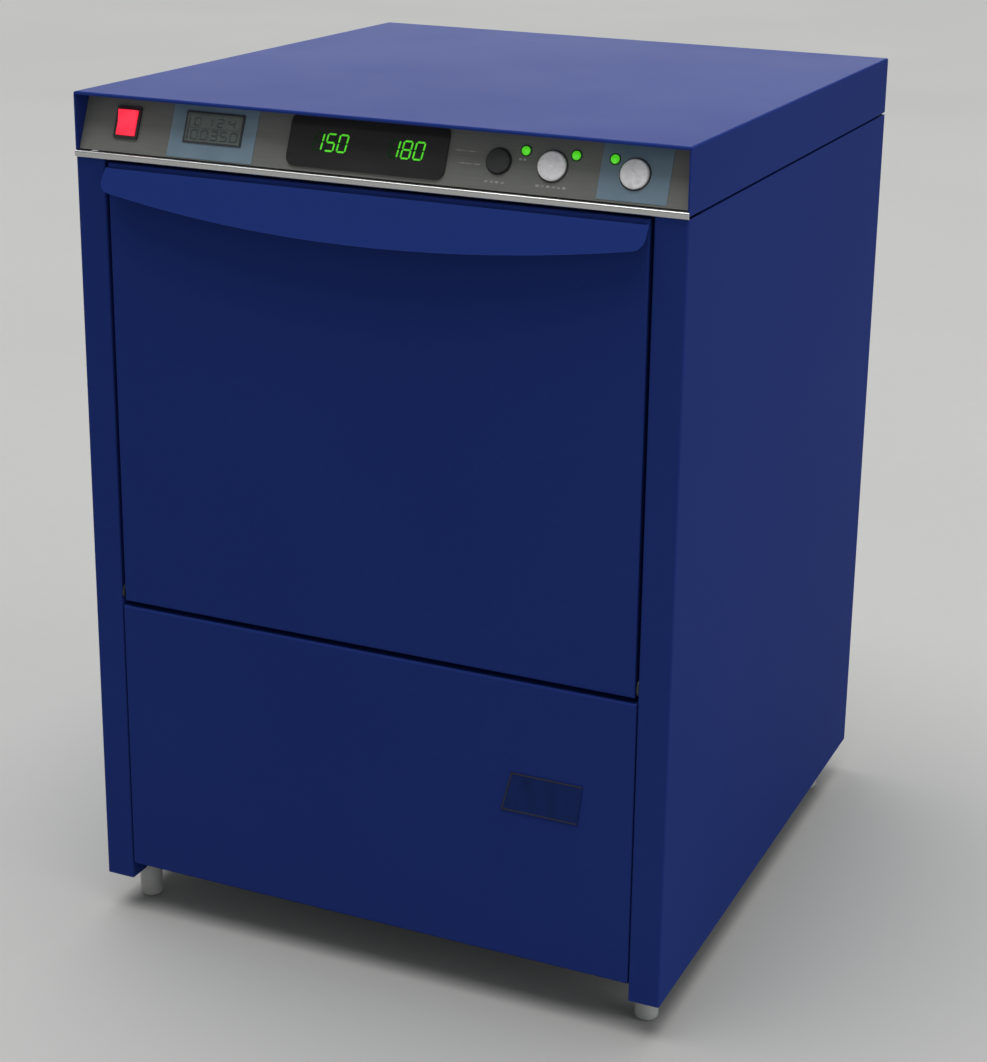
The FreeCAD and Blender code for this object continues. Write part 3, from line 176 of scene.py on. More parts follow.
class Look:
    """A Principled material with short calls for its procedural layers."""

    def __init__(self, name, colour, rough, metallic=0.0, **sockets):
        self.material = bpy.data.materials.new(name)
        self.material.use_nodes = True
        self.tree = self.material.node_tree
        self.shader = self.tree.nodes["Principled BSDF"]
        self.shader.inputs["Base Color"].default_value = (*colour, 1)
        self.shader.inputs["Roughness"].default_value = rough
        self.shader.inputs["Metallic"].default_value = metallic
        self.material.diffuse_color = (*colour, 1)
        for word, size in sockets.items():
            self.shader.inputs[word.replace("_", " ")].default_value = size
        self.normal = None

    def node(self, kind, **settings):
        made = self.tree.nodes.new(kind)
        for word, setting in settings.items():
            setattr(made, word, setting)
        return made

    def link(self, out, into):
        self.tree.links.new(out, into)

    def coords(self, stretch=(1, 1, 1)):
        """The object's own coordinates in metres, stretched along each axis."""
        source = self.node("ShaderNodeTexCoord").outputs["Object"]
        mapping = self.node("ShaderNodeMapping")
        mapping.inputs["Scale"].default_value = stretch
        self.link(source, mapping.inputs["Vector"])
        return mapping.outputs["Vector"]

    def noise(self, scale, detail=3.0, rough=0.5, stretch=(1, 1, 1), warp=0.0):
        made = self.node("ShaderNodeTexNoise")
        made.inputs["Scale"].default_value = scale
        made.inputs["Detail"].default_value = detail
        made.inputs["Roughness"].default_value = rough
        made.inputs["Distortion"].default_value = warp
        self.link(self.coords(stretch), made.inputs["Vector"])
        return made.outputs["Fac"]

    def spread(self, value, low, high, start=0.3, end=0.7):
        """Map a mask to a range of numbers."""
        made = self.node("ShaderNodeMapRange")
        made.inputs["From Min"].default_value = start
        made.inputs["From Max"].default_value = end
        made.inputs["To Min"].default_value = low
        made.inputs["To Max"].default_value = high
        self.link(value, made.inputs["Value"])
        return made.outputs["Result"]

    def maths(self, what, a, b=None):
        made = self.node("ShaderNodeMath", operation=what)
        for number, part in enumerate(p for p in (a, b) if p is not None):
            if isinstance(part, (int, float)):
                made.inputs[number].default_value = part
            else:
                self.link(part, made.inputs[number])
        return made.outputs["Value"]

    def blend(self, mask, first, second):
        """Mix two colours, each a colour or the output of another layer, by a mask."""
        made = self.node("ShaderNodeMix", data_type="RGBA")
        self.link(mask, made.inputs["Factor"])
        for socket, part in (("A", first), ("B", second)):
            target = [s for s in made.inputs if s.name == socket and s.type == "RGBA"][0]
            if isinstance(part, tuple):
                target.default_value = (*part, 1)
            else:
                self.link(part, target)
        return [s for s in made.outputs if s.type == "RGBA"][0]

    def bump(self, height, strength, depth):
        """Stack a bump layer; depth is in millimetres."""
        made = self.node("ShaderNodeBump")
        made.inputs["Strength"].default_value = strength
        made.inputs["Distance"].default_value = depth * MM
        self.link(height, made.inputs["Height"])
        if self.normal is not None:
            self.link(self.normal, made.inputs["Normal"])
        self.normal = made.outputs["Normal"]
        self.link(self.normal, self.shader.inputs["Normal"])

    def edges(self, width, low=0.02, high=0.25):
        """Mask of convex and concave edges about as wide as the given millimetres."""
        soft = self.node("ShaderNodeBevel", samples=4)
        soft.inputs["Radius"].default_value = width * MM
        flat = self.node("ShaderNodeNewGeometry")
        apart = self.node("ShaderNodeVectorMath", operation="DOT_PRODUCT")
        self.link(soft.outputs["Normal"], apart.inputs[0])
        self.link(flat.outputs["Normal"], apart.inputs[1])
        turned = self.maths("SUBTRACT", 1.0, apart.outputs["Value"])
        return self.spread(turned, 0.0, 1.0, low, high)

    def colour(self, source):
        self.link(source, self.shader.inputs["Base Color"])

    def roughness(self, source):
        self.link(source, self.shader.inputs["Roughness"])


# ---------------------------------------------------------------- materials

def blue_paint():
    """Deep blue powder coat: cloudy tone, orange peel, and a lighter blue painted along the edges as a
    highlight.
    """
    look = Look("blue_paint", (0.007, 0.022, 0.14), 0.4, IOR=1.3, Specular_IOR_Level=0.01)
    cloud = look.noise(1.6, 3.0, 0.5, warp=0.3)
    tone = look.blend(look.spread(cloud, 0, 1), (0.0132, 0.0288, 0.152), (0.0152, 0.0322, 0.168))
    speck = look.noise(620, 2.0)
    tone = look.blend(look.spread(speck, 0, 0.35, 0.52, 0.75), tone, (0.018, 0.038, 0.195))
    edge = look.edges(1.2)
    # painted highlight: noisy patches along the edges are mixed towards a lighter blue
    edge_weight = look.maths("MULTIPLY", edge, look.spread(look.noise(60, 3.0), 0.15, 0.6))
    look.colour(look.blend(edge_weight, tone, (0.03, 0.055, 0.26)))
    look.roughness(look.spread(look.noise(9, 4.0, 0.55), 0.41, 0.44))
    look.bump(look.noise(300, 2.0, 0.4), 0.10, 0.08)
    return look.material


def plate_paint():
    """Blank plate, a little duller than the panel it is fixed to."""
    look = Look("plate_paint", (0.004, 0.010, 0.052), 0.45, IOR=1.25, Specular_IOR_Level=0.2)
    band = look.noise(90, 2.0, 0.5, (1, 1, 0.25))
    look.colour(look.blend(look.spread(band, 0, 1), (0.0055, 0.0163, 0.088), (0.0080, 0.021, 0.117)))
    look.roughness(look.spread(look.noise(200, 3.0), 0.38, 0.5))
    look.bump(band, 0.25, 0.15)
    return look.material


def brushed(name, colour, grain, rough, contrast=0.12, metallic=1.0):
    """Brushed metal; grain gives how much the pattern is squeezed along each axis."""
    look = Look(name, colour, rough, metallic)
    lines = look.noise(420, 4.0, 0.65, grain)
    cloud = look.noise(5, 4.0, 0.5, warp=0.4)
    dark = tuple(c * (1 - contrast) for c in colour)
    tone = look.blend(look.spread(lines, 0, 1), dark, colour)
    stain = tuple(c * (1 - 1.6 * contrast) for c in colour)
    look.colour(look.blend(look.spread(cloud, 0, 0.7, 0.48, 0.72), tone, stain))
    edge_weight = look.maths("MULTIPLY", look.edges(0.8), 0.12)
    base = look.maths("SUBTRACT", look.spread(lines, rough - 0.04, rough + 0.06), edge_weight)
    look.roughness(base)
    look.bump(lines, 0.14, 0.02)
    return look.material


def galvanised():
    """Zinc-coated sheet with its crystal spangle."""
    look = Look("galvanised", (0.52, 0.55, 0.57), 0.45, 0.9)
    cells = look.node("ShaderNodeTexVoronoi", feature="F1")
    cells.inputs["Scale"].default_value = 95
    look.link(look.coords(), cells.inputs["Vector"])
    split = look.node("ShaderNodeSeparateColor")
    look.link(cells.outputs["Color"], split.inputs["Color"])
    grey = split.outputs["Red"]
    look.colour(look.blend(grey, (0.42, 0.45, 0.47), (0.62, 0.64, 0.66)))
    fine = look.spread(look.noise(80, 4.0), 0.0, 0.12)
    look.roughness(look.maths("ADD", look.spread(grey, 0.34, 0.52, 0, 1), fine))
    look.bump(look.noise(500, 2.0), 0.1, 0.05)
    return look.material


def fascia_grey():
    """Olive-grey anodised panel with a very fine level grain."""
    look = Look("fascia_grey", (0.115, 0.118, 0.108), 0.5, Specular_IOR_Level=0.3)
    lines = look.noise(700, 3.0, 0.6, (0.05, 1, 1))
    tone = look.blend(look.spread(lines, 0, 1), (0.135, 0.141, 0.130), (0.165, 0.170, 0.158))
    cloud = look.noise(9, 3.0)
    look.colour(look.blend(look.spread(cloud, 0, 0.5), tone, (0.160, 0.160, 0.145)))
    look.roughness(look.spread(lines, 0.44, 0.56))
    look.bump(lines, 0.15, 0.03)
    return look.material


def overlay_foil():
    """Blue-grey printed foil with a fine pebble texture."""
    look = Look("overlay_foil", (0.105, 0.15, 0.175), 0.42, Coat_Weight=0.15)
    cloud = look.noise(26, 3.0, 0.5, (1, 1, 0.5))
    look.colour(look.blend(look.spread(cloud, 0, 1), (0.122, 0.190, 0.240), (0.165, 0.245, 0.315)))
    look.roughness(look.spread(look.noise(300, 2.0), 0.36, 0.5))
    look.bump(look.noise(1500, 1.0), 0.2, 0.03)
    return look.material


def counter_glass():
    """Counter display's grey-green pane with slow unevenness."""
    look = Look("counter_glass", (0.07, 0.085, 0.08), 0.22, Coat_Weight=0.4)
    cloud = look.noise(45, 3.0, 0.5, warp=0.5)
    look.colour(look.blend(look.spread(cloud, 0, 1), (0.092, 0.118, 0.108), (0.130, 0.158, 0.145)))
    look.roughness(look.spread(look.noise(160, 2.0), 0.16, 0.3))
    look.bump(look.noise(12, 1.0), 0.05, 0.2)
    return look.material


def counter_rim():
    """Thin charcoal moulding round the counter's pane."""
    look = Look("counter_rim", (0.03, 0.034, 0.034), 0.35)
    look.colour(look.blend(look.spread(look.noise(200), 0, 1), (0.022, 0.026, 0.026), (0.042, 0.046, 0.046)))
    look.roughness(look.spread(look.noise(90, 2.0), 0.3, 0.45))
    look.bump(look.noise(800, 1.0), 0.15, 0.03)
    return look.material


def segment_ink():
    """Dark grey liquid-crystal segments."""
    look = Look("segment_ink", (0.028, 0.036, 0.036), 0.3)
    look.colour(look.blend(look.spread(look.noise(70), 0, 1), (0.030, 0.040, 0.046), (0.056, 0.068, 0.076)))
    look.roughness(look.spread(look.noise(240), 0.25, 0.4))
    return look.material


def lens_black():
    """Near-black smoked acrylic under a hard gloss coat, with faint wipe marks."""
    look = Look("lens_black", (0.0095, 0.0085, 0.0085), 0.3, Coat_Weight=0.2, Coat_Roughness=0.12,
                IOR=1.25)
    wipe = look.noise(60, 5.0, 0.65, (0.2, 1, 1), 0.4)
    look.colour(look.blend(look.spread(wipe, 0, 1), (0.0185, 0.0172, 0.0175), (0.0250, 0.0238, 0.0238)))
    look.roughness(look.spread(wipe, 0.24, 0.4))
    look.bump(look.noise(18, 1.0), 0.04, 0.2)
    return look.material


def moulded(name, colour, rough, grain=600, depth=0.05, vary=0.25, **sockets):
    """Moulded plastic or rubber: fine grain, uneven gloss, edges painted a little lighter as a highlight."""
    look = Look(name, colour, rough, **sockets)
    cloud = look.noise(18, 4.0, 0.55, warp=0.3)
    dark = tuple(c * (1 - vary) for c in colour)
    light = tuple(min(1, c * (1 + vary)) for c in colour)
    tone = look.blend(look.spread(cloud, 0, 1), dark, light)
    # painted highlight: the edges are mixed towards a lighter copy of the colour
    edge_weight = look.maths("MULTIPLY", look.edges(0.8), 0.35)
    look.colour(look.blend(edge_weight, tone, tuple(min(1, c * 1.6 + 0.01) for c in colour)))
    look.roughness(look.spread(look.noise(70, 4.0), rough - 0.07, rough + 0.08))
    look.bump(look.noise(grain, 2.0, 0.5), 0.2, depth)
    return look.material


def button_metal():
    """Satin silver cap with a fine grain and slight handling stains."""
    look = Look("button_metal", (0.75, 0.74, 0.75), 0.4, 0.35)
    cloud = look.noise(110, 4.0, 0.6, warp=0.8)
    look.colour(look.blend(look.spread(cloud, 0, 1, 0.35, 0.68), (0.76, 0.75, 0.76), (0.97, 0.96, 0.98)))
    look.roughness(look.spread(cloud, 0.3, 0.5))
    look.bump(look.noise(600, 3.0, 0.6), 0.25, 0.04)
    return look.material


def lit(name, colour, glow, strength, spot_scale):
    """Translucent moulding lit from behind, a little uneven in its glow."""
    look = Look(name, colour, 0.3, Coat_Weight=0.3)
    cloud = look.noise(spot_scale, 2.0, 0.4)
    hot = look.spread(cloud, 0, 1, 0.35, 0.65)
    look.link(look.blend(hot, glow, tuple(min(1, c * 1.25 + 0.015) for c in glow)),
              look.shader.inputs["Emission Color"])
    look.shader.inputs["Emission Strength"].default_value = strength
    look.roughness(look.spread(look.noise(400, 2.0), 0.25, 0.4))
    look.bump(look.noise(300, 1.0), 0.1, 0.03)
    return look.material


def printed_ink():
    """Pale printed lines on the panel."""
    look = Look("printed_ink", (0.22, 0.22, 0.2), 0.5)
    wear = look.spread(look.noise(220, 3.0), 0, 1, 0.4, 0.6)
    look.colour(look.blend(wear, (0.20, 0.20, 0.19), (0.36, 0.36, 0.34)))
    look.roughness(look.spread(look.noise(300), 0.42, 0.58))
    return look.material


def circuit_green():
    """Solder-mask green with copper tracks showing through."""
    look = Look("circuit_green", (0.01, 0.09, 0.04), 0.35, Coat_Weight=0.3)
    tracks = look.node("ShaderNodeTexBrick")
    tracks.inputs["Scale"].default_value = 130
    tracks.inputs["Mortar Size"].default_value = 0.05
    look.link(look.coords(), tracks.inputs["Vector"])
    look.colour(look.blend(tracks.outputs["Fac"], (0.008, 0.075, 0.03), (0.03, 0.16, 0.06)))
    look.roughness(look.spread(look.noise(120), 0.28, 0.42))
    look.bump(tracks.outputs["Fac"], 0.3, 0.05)
    return look.material


def hose_rubber():
    """Black hose with the rib of its woven reinforcement."""
    look = Look("hose_rubber", (0.02, 0.02, 0.022), 0.6)
    wave = look.node("ShaderNodeTexWave", bands_direction="DIAGONAL")
    wave.inputs["Scale"].default_value = 60
    wave.inputs["Distortion"].default_value = 0.6
    look.link(look.coords(), wave.inputs["Vector"])
    rib = wave.outputs["Fac"]
    look.colour(look.blend(look.spread(rib, 0, 1, 0, 1), (0.014, 0.014, 0.016), (0.034, 0.034, 0.037)))
    look.roughness(look.spread(look.noise(90, 3.0), 0.52, 0.7))
    look.bump(rib, 0.5, 0.3)
    return look.material


def floor_paper():
    """Pale seamless studio floor."""
    look = Look("floor_paper", (0.355, 0.355, 0.348), 0.85, Specular_IOR_Level=0.1)
    cloud = look.noise(0.8, 2.0)
    look.colour(look.blend(look.spread(cloud, 0, 1), (0.347, 0.349, 0.341), (0.363, 0.363, 0.355)))
    look.roughness(look.spread(look.noise(40, 3.0), 0.8, 0.92))
    look.bump(look.noise(900, 1.0), 0.05, 0.1)
    return look.material


LOOKS = {
    "blue_paint": blue_paint(),
    "blue_plate": plate_paint(),
    "stainless": brushed("stainless", (0.60, 0.60, 0.59), (1, 1, 0.03), 0.3),
    "stainless_level": brushed("stainless_level", (0.60, 0.60, 0.59), (0.04, 2.5, 2.5), 0.32, 0.05),
    "galvanised": galvanised(),
    "bright_trim": brushed("bright_trim", (0.57, 0.57, 0.56), (0.05, 4, 4), 0.28, 0.03),
    "fascia_grey": fascia_grey(),
    "overlay_foil": overlay_foil(),
    "lcd_glass": counter_glass(),
    "dark_lens": lens_black(),
    "black_plastic": moulded("black_plastic", (0.018, 0.018, 0.018), 0.45),
    "button_metal": button_metal(),
    "dark_button": moulded("dark_button", (0.035, 0.036, 0.037), 0.45, 900, 0.04,
                           Specular_IOR_Level=0.3),
    "red_rocker": lit("red_rocker", (0.7, 0.01, 0.03), (0.95, 0.012, 0.045), 0.95, 90),
    "green_lamp": lit("green_lamp", (0.04, 0.30, 0.01), (0.07, 0.62, 0.008), 0.75, 200),
    "board_green": circuit_green(),
    "grey_plastic": moulded("grey_plastic", (0.36, 0.38, 0.37), 0.36, 500, 0.04, 0.06,
                            Subsurface_Weight=0.15),
    "rubber": moulded("rubber", (0.016, 0.016, 0.017), 0.62, 900, 0.06),
    "hose_rubber": hose_rubber(),
    "nylon": moulded("nylon", (0.66, 0.65, 0.6), 0.4, 500, 0.04, 0.07),
    "spring_steel": brushed("spring_steel", (0.42, 0.42, 0.42), (1, 1, 1), 0.34, 0.2),
    "arm_plastic": moulded("arm_plastic", (0.36, 0.41, 0.45), 0.42, 500, 0.05, 0.08),
    "pump_plastic": moulded("pump_plastic", (0.035, 0.035, 0.038), 0.5, 400, 0.08),
    "motor_paint": moulded("motor_paint", (0.06, 0.07, 0.08), 0.48, 350, 0.1, 0.15),
    "brass": brushed("brass", (0.68, 0.48, 0.2), (1, 0.1, 1), 0.32, 0.15),
    "magnet": brushed("magnet", (0.33, 0.33, 0.34), (1, 1, 1), 0.3, 0.15),
}


def dress_cad_nodes():
    """Every CAD node takes the material of its finish slot."""
    level_grain = {"door_liner", "rack_guides", "tank_strainer", "heating_element", "pump_rotor"}
    for part in frame["record"]["subparts"]:
        name, slot = part["node"], part["material_slot"]
        look = LOOKS["stainless_level"] if name in level_grain else LOOKS[slot]
        slots = NODES[name].data.materials
        slots.clear()
        slots.append(look)


# ---------------------------------------------------------------- control panel pieces

SEGMENT_ENDS = {
    "a": ((0, 2), (1, 2)), "b": ((1, 1), (1, 2)), "c": ((1, 0), (1, 1)), "d": ((0, 0), (1, 0)),
    "e": ((0, 0), (0, 1)), "f": ((0, 1), (0, 2)), "g": ((0, 1), (1, 1)),
}
DIGIT_SEGMENTS = {
    "0": "abcdef", "1": "bc", "2": "abdeg", "3": "abcdg", "4": "bcfg", "5": "acdfg", "8": "abcdefg",
}


def segment(shape, start, end, thick, slant, low, high):
    """One pointed bar of a seven-segment digit, leaning by the slant."""
    run = (Vector(end) - Vector(start)).normalized()
    side = Vector((-run.y, run.x)) * thick / 2
    tip = run * thick / 2
    gap = run * thick * 0.18
    first, last = Vector(start) + gap, Vector(end) - gap
    corners = [first, first + tip + side, last - tip + side, last, last - tip - side, first + tip - side]
    prism(shape, [(p.x + slant * p.y, p.y) for p in corners][::-1], low, high)


def number(shape, text, left, low_v, wide, tall, pitch, thick, slant, low, high):
    """A row of seven-segment digits; left is the first cell's left edge."""
    for place, digit in enumerate(text):
        origin = Vector((left + place * pitch, low_v))
        for letter in DIGIT_SEGMENTS[digit]:
            start, end = SEGMENT_ENDS[letter]
            ends = [(origin.x + x * wide - slant * origin.y, origin.y + y * tall / 2)
                    for x, y in (start, end)]
            segment(shape, *ends, thick, slant, low, high)


def read_outs():
    """Wash and rinse temperatures behind the lens, as thin lit bars on its face."""
    lens_face = 2.0
    seat = lens_face - 0.1
    low_v, wide, tall, pitch, slant = 21, 8.2, 15.5, 12.2, 0.12
    unlit = moulded("unlit_segment", (0.004, 0.032, 0.006), 0.4, 700, 0.03, Specular_IOR_Level=0.2)
    for name, text, left in (("wash_read_out", "150", -57.5), ("rinse_read_out", "180", 18.5)):
        shape = bmesh.new()
        number(shape, text, left, low_v, wide, tall, pitch, 1.6, slant, seat, lens_face + 0.08)
        piece(name, shape, LOOKS["green_lamp"], place=panel())
        ghost = bmesh.new()
        number(ghost, "888", left, low_v, wide, tall, pitch, 2.6, slant, seat, lens_face + 0.04)
        piece(f"{name}_unlit", ghost, unlit, place=panel())


def counter_display():
    """Rim and two rows of grey digits of the cycle counter."""
    pane_face = 0.4
    digits = bmesh.new()
    number(digits, "0124", -184, 33.2, 6.2, 7.2, 12, 1.1, 0.05, pane_face - 0.1, pane_face + 0.06)
    number(digits, "00350", -186, 20.4, 6.6, 8.4, 10.4, 1.2, 0.05, pane_face - 0.1, pane_face + 0.06)
    slab(digits, (-188.5, -136.5), (30.6, 31.1), (pane_face - 0.1, pane_face + 0.05))
    piece("counter_digits", digits, segment_ink(), place=panel())
    rim = bmesh.new()
    left, right, bottom, top, wide = -193.2, -131.8, 16.3, 46.2, 2
    between = (left + wide, right - wide)
    for x, y in (((left, left + wide), (bottom, top)), ((right - wide, right), (bottom, top)),
                 (between, (bottom, bottom + wide)), (between, (top - wide, top))):
        slab(rim, x, y, (pane_face, pane_face + 1.2), 0.4)
    piece("counter_rim", rim, counter_rim(), place=panel())


def printed_lines():
    """Leader lines and short dashes that stand where the panel's captions are."""
    shape = bmesh.new()
    surface = (-0.02, 0.06)
    line_half, dash_half, dash_share = 0.4, 0.9, 0.62
    for u, v, wide in ((82, 33.5, 21), (85, 22.5, 22)):
        slab(shape, (u, u + wide), (v - line_half, v + line_half), surface)
    for u, v, wide in ((114, 8.6, 20), (162, 9.2, 30), (143, 30.6, 8)):
        dashes = max(2, round(wide / 5))
        for step in range(dashes):
            start = u + step * wide / dashes
            end = start + dash_share * wide / dashes
            slab(shape, (start, end), (v - dash_half, v + dash_half), surface)
    piece("printed_lines", shape, printed_ink(), place=panel())


def lamp_rings():
    """Dark green seat round each lamp."""
    shape = bmesh.new()
    for u in LAMPS:
        ring(shape, 3.4, 5.2, -0.1, 0.9, at(u, LAMP_ROW, 0))
    seat = moulded("lamp_seat", (0.006, 0.05, 0.006), 0.35, 700, 0.03)
    piece("lamp_rings", shape, seat, place=panel(), smooth=True)


def button_shadow_rings():
    """Thin black ring in the gap round each push button, painted as the shadow in that gap."""
    shape = bmesh.new()
    for centre, radius in BUTTONS.values():
        ring(shape, radius + 0.45, radius + 1.5, -0.1, 0.7, at(centre, CONTROL_ROW, 0), 72)
    # painted shadow: a black ring where the gap round each button lies in shade
    piece("button_shadow_rings", shape, LOOKS["black_plastic"], place=panel(), smooth=True)


def board_components():
    """Chips and capacitors on the control board."""
    board_face = -24.4
    shape = bmesh.new()
    for index in range(9):
        u = -92 + 31 * index
        chip = ((u, u + 9 + 5 * (index % 3)), (12, 19 + 2 * (index % 2)))
        slab(shape, *chip, (board_face, board_face + 2.9), 0.4)
    piece("board_chips", shape, LOOKS["black_plastic"], place=panel())
    cans = bmesh.new()
    for u in (-80, -70, 70, 80):
        can = [(0, board_face), (4, board_face), (4, -14.6), (3.4, -14), (0, -14)]
        lathe(cans, can, at(u, 38, 0), 24)
    piece("board_capacitors", cans, LOOKS["magnet"], place=panel(), smooth=True)


# ---------------------------------------------------------------- cabinet pieces

def cross_head(shape, place, radius, tall):
    """Pan-head screw with a cross recess; the head's base is at the local origin."""
    arm, half, floor = 0.62 * radius, 0.16 * radius, 0.45 * tall
    rim = [(half, half), (half, arm), (-half, arm), (-half, half), (-arm, half), (-arm, -half),
           (-half, -half), (-half, -arm), (half, -arm), (half, -half), (arm, -half), (arm, half)]
    sides = 48
    made = []

    def loop(points, height):
        verts = [shape.verts.new((x, y, height)) for x, y in points]
        made.extend(verts)
        return verts

    def circle(size):
        return [(size * math.cos(2 * math.pi * i / sides), size * math.sin(2 * math.pi * i / sides))
                for i in range(sides)]

    profile = [(radius, 0), (radius, 0.35 * tall), (0.93 * radius, 0.7 * tall), (0.78 * radius, 0.93 * tall)]
    rounds = [loop(circle(size), height) for size, height in profile]
    for lower, upper in zip(rounds, rounds[1:]):
        for i in range(sides):
            j = (i + 1) % sides
            shape.faces.new((lower[i], lower[j], upper[j], upper[i]))
    shape.faces.new(rounds[0][::-1])
    top = loop(rim, tall)
    bottom = loop([(0.8 * x, 0.8 * y) for x, y in rim], floor)
    for i in range(len(rim)):
        j = (i + 1) % len(rim)
        shape.faces.new((top[i], bottom[i], bottom[j], top[j]))
    shape.faces.new(bottom)
    # the crown between the cross and the outer circle
    edges = []
    for around in (rounds[-1], top):
        for i in range(len(around)):
            pair = (around[i], around[(i + 1) % len(around)])
            edges.append(shape.edges.get(pair) or shape.edges.new(pair))
    bmesh.ops.triangle_fill(shape, use_beauty=True, edges=edges)
    bmesh.ops.transform(shape, matrix=place, verts=made)


def cabinet_screws():
    """Cross-head screws of the rear flanges, and the painted one under the lower panel."""
    radius, tall = 4.0, 1.5
    lowest, pitch = 200, 170
    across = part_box("cabinet_screws")[1].x / MM - radius
    rear = bmesh.new()
    for side in (-1, 1):
        for step in range(4):
            place = along("Y", side * across, REAR, lowest + pitch * step)
            cross_head(rear, place @ Matrix.Rotation(random.uniform(0, 1.5), 4, "Z"), radius, tall)
    steel = piece("flange_screws", rear, LOOKS["stainless"])
    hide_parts("cabinet_screws")
    under = bmesh.new()
    panel_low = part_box("lower_front_panel")[0].z / MM
    cross_head(under, along("-Z", 235, FRONT + 10, panel_low), radius, tall)
    painted = piece("panel_screw", under, LOOKS["blue_paint"])
    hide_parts("cabinet_screws")


def handle_lip():
    """Flared handle in one smooth sweep from its root to the shallow arc of its free edge."""
    low, high = (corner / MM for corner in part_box("door_handle"))
    half, top, sagitta, corner_radius, skin = high.x, 781.5, 22, 9, 2
    root = FRONT - 3
    columns, rows = 96, 14

    def free_edge(x):
        height = low.z + sagitta * (x / half) ** 2
        over = max(0, abs(x) - (half - corner_radius))
        return height + corner_radius - math.sqrt(max(0, corner_radius ** 2 - over ** 2))

    def face(z):
        return root - (root - low.y) * ((top - z) / (top - low.z)) ** 0.85

    shape = bmesh.new()
    grids = []
    for behind in (0, skin):
        grid = []
        for i in range(columns + 1):
            x = -half * math.cos(math.pi * i / columns)
            heights = [top + (free_edge(x) - top) * j / rows for j in range(rows + 1)]
            grid.append([shape.verts.new((x, min(FRONT, face(z) + behind), z)) for z in heights])
        grids.append(grid)
    outer, inner = grids
    for i in range(columns):
        for j in range(rows):
            for grid in grids:
                shape.faces.new((grid[i][j], grid[i + 1][j], grid[i + 1][j + 1], grid[i][j + 1]))
        shape.faces.new((outer[i][rows], outer[i + 1][rows], inner[i + 1][rows], inner[i][rows]))
        shape.faces.new((outer[i][0], outer[i + 1][0], inner[i + 1][0], inner[i][0]))
    for end in (0, columns):
        for j in range(rows):
            shape.faces.new((outer[end][j], outer[end][j + 1], inner[end][j + 1], inner[end][j]))
    slab(shape, (-half + 2, half - 2), (root, FRONT), (top - 2, top))
    slot = SLOTS["door_handle"]
    lip = piece("handle_lip", shape, LOOKS[slot], body="door", smooth=True)
    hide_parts("door_handle")


def plate_shadow_strips():
    """Raised near-black strips along three sides of the blank plate, painted as the shadow along its edges.
    """
    low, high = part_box("name_plate")
    face = low.y / MM
    left, right, bottom, top = low.x / MM, high.x / MM, low.z / MM, high.z / MM
    corners = [(left, bottom), (right - 4.5, bottom), (right, top), (left + 10, top)]
    shape = bmesh.new()
    for start, end in ((corners[0], corners[1]), (corners[2], corners[3]), (corners[3], corners[0])):
        run = (Vector(end) - Vector(start)).normalized()
        inward = Vector((-run.y, run.x)) * 1.5
        start, end = Vector(start), Vector(end)
        outline = [start, end, end + inward, start + inward]
        prism(shape, [(p.x, p.y) for p in outline], 0, 0.6, 0.2)
    # painted shadow: near-black strips where the plate's raised edges throw shade
    shade = moulded("plate_shadow_strips", (0.003, 0.005, 0.016), 0.5, 500, 0.04)
    place = plain() @ at(0, face + 0.4, 0) @ Matrix.Rotation(math.pi / 2, 4, "X")
    piece("plate_shadow_strips", shape, shade, place=place)


# ---------------------------------------------------------------- wash chamber pieces

def perforated(shape, outline, holes, low, high):
    """Sheet between two heights with round holes; each hole is (x, y, radius)."""
    points = [Vector(p) for p in outline]
    loops = [range(len(points))]
    for x, y, radius in holes:
        sides = 32 if radius > 10 else 8
        first = len(points)
        angles = [2 * math.pi * i / sides for i in range(sides)]
        points += [Vector((x + radius * math.cos(a), y + radius * math.sin(a))) for a in angles]
        loops.append(range(first, first + sides))
    owner = {index: number for number, loop in enumerate(loops) for index in loop}
    edges = [(loop[i], loop[(i + 1) % len(loop)]) for loop in loops for i in range(len(loop))]
    flat, _, faces, sources, *_ = delaunay_2d_cdt(points, edges, [], 1, 1e-4)
    found = {source: i for i, group in enumerate(sources) for source in group}
    top = [shape.verts.new((p.x, p.y, high)) for p in flat]
    bottom = [shape.verts.new((p.x, p.y, low)) for p in flat]
    for face in faces:
        hosts = {owner[sources[i][0]] for i in face}
        if len(hosts) > 1 or 0 in hosts:
            shape.faces.new([top[i] for i in face])
            shape.faces.new([bottom[i] for i in reversed(face)])
    for start, end in edges:
        a, b = found[start], found[end]
        shape.faces.new((top[a], bottom[a], bottom[b], top[b]))


def tray_holes(x, y, pitch, radius):
    """Staggered holes inside a rectangle, clear of the two pipes and the lifting grips."""
    holes = []
    for row in range(int((y[1] - y[0]) / (0.866 * pitch)) + 1):
        start = x[0] + (row % 2) * pitch / 2
        for step in range(int((x[1] - start) / pitch) + 1):
            spot = (start + step * pitch, y[0] + 0.866 * pitch * row)
            beside_grip = GRIP_SPAN[0] - 5 < abs(spot[0]) < GRIP_SPAN[1] + 5
            at_grip = beside_grip and abs(spot[1] - GRIP_ROW) < radius + 2
            at_pipe = math.dist(spot, (0, 0)) <= 26 or math.dist(spot, STANDPIPE) <= 27
            if not at_grip and not at_pipe:
                holes.append((*spot, radius))
    return holes


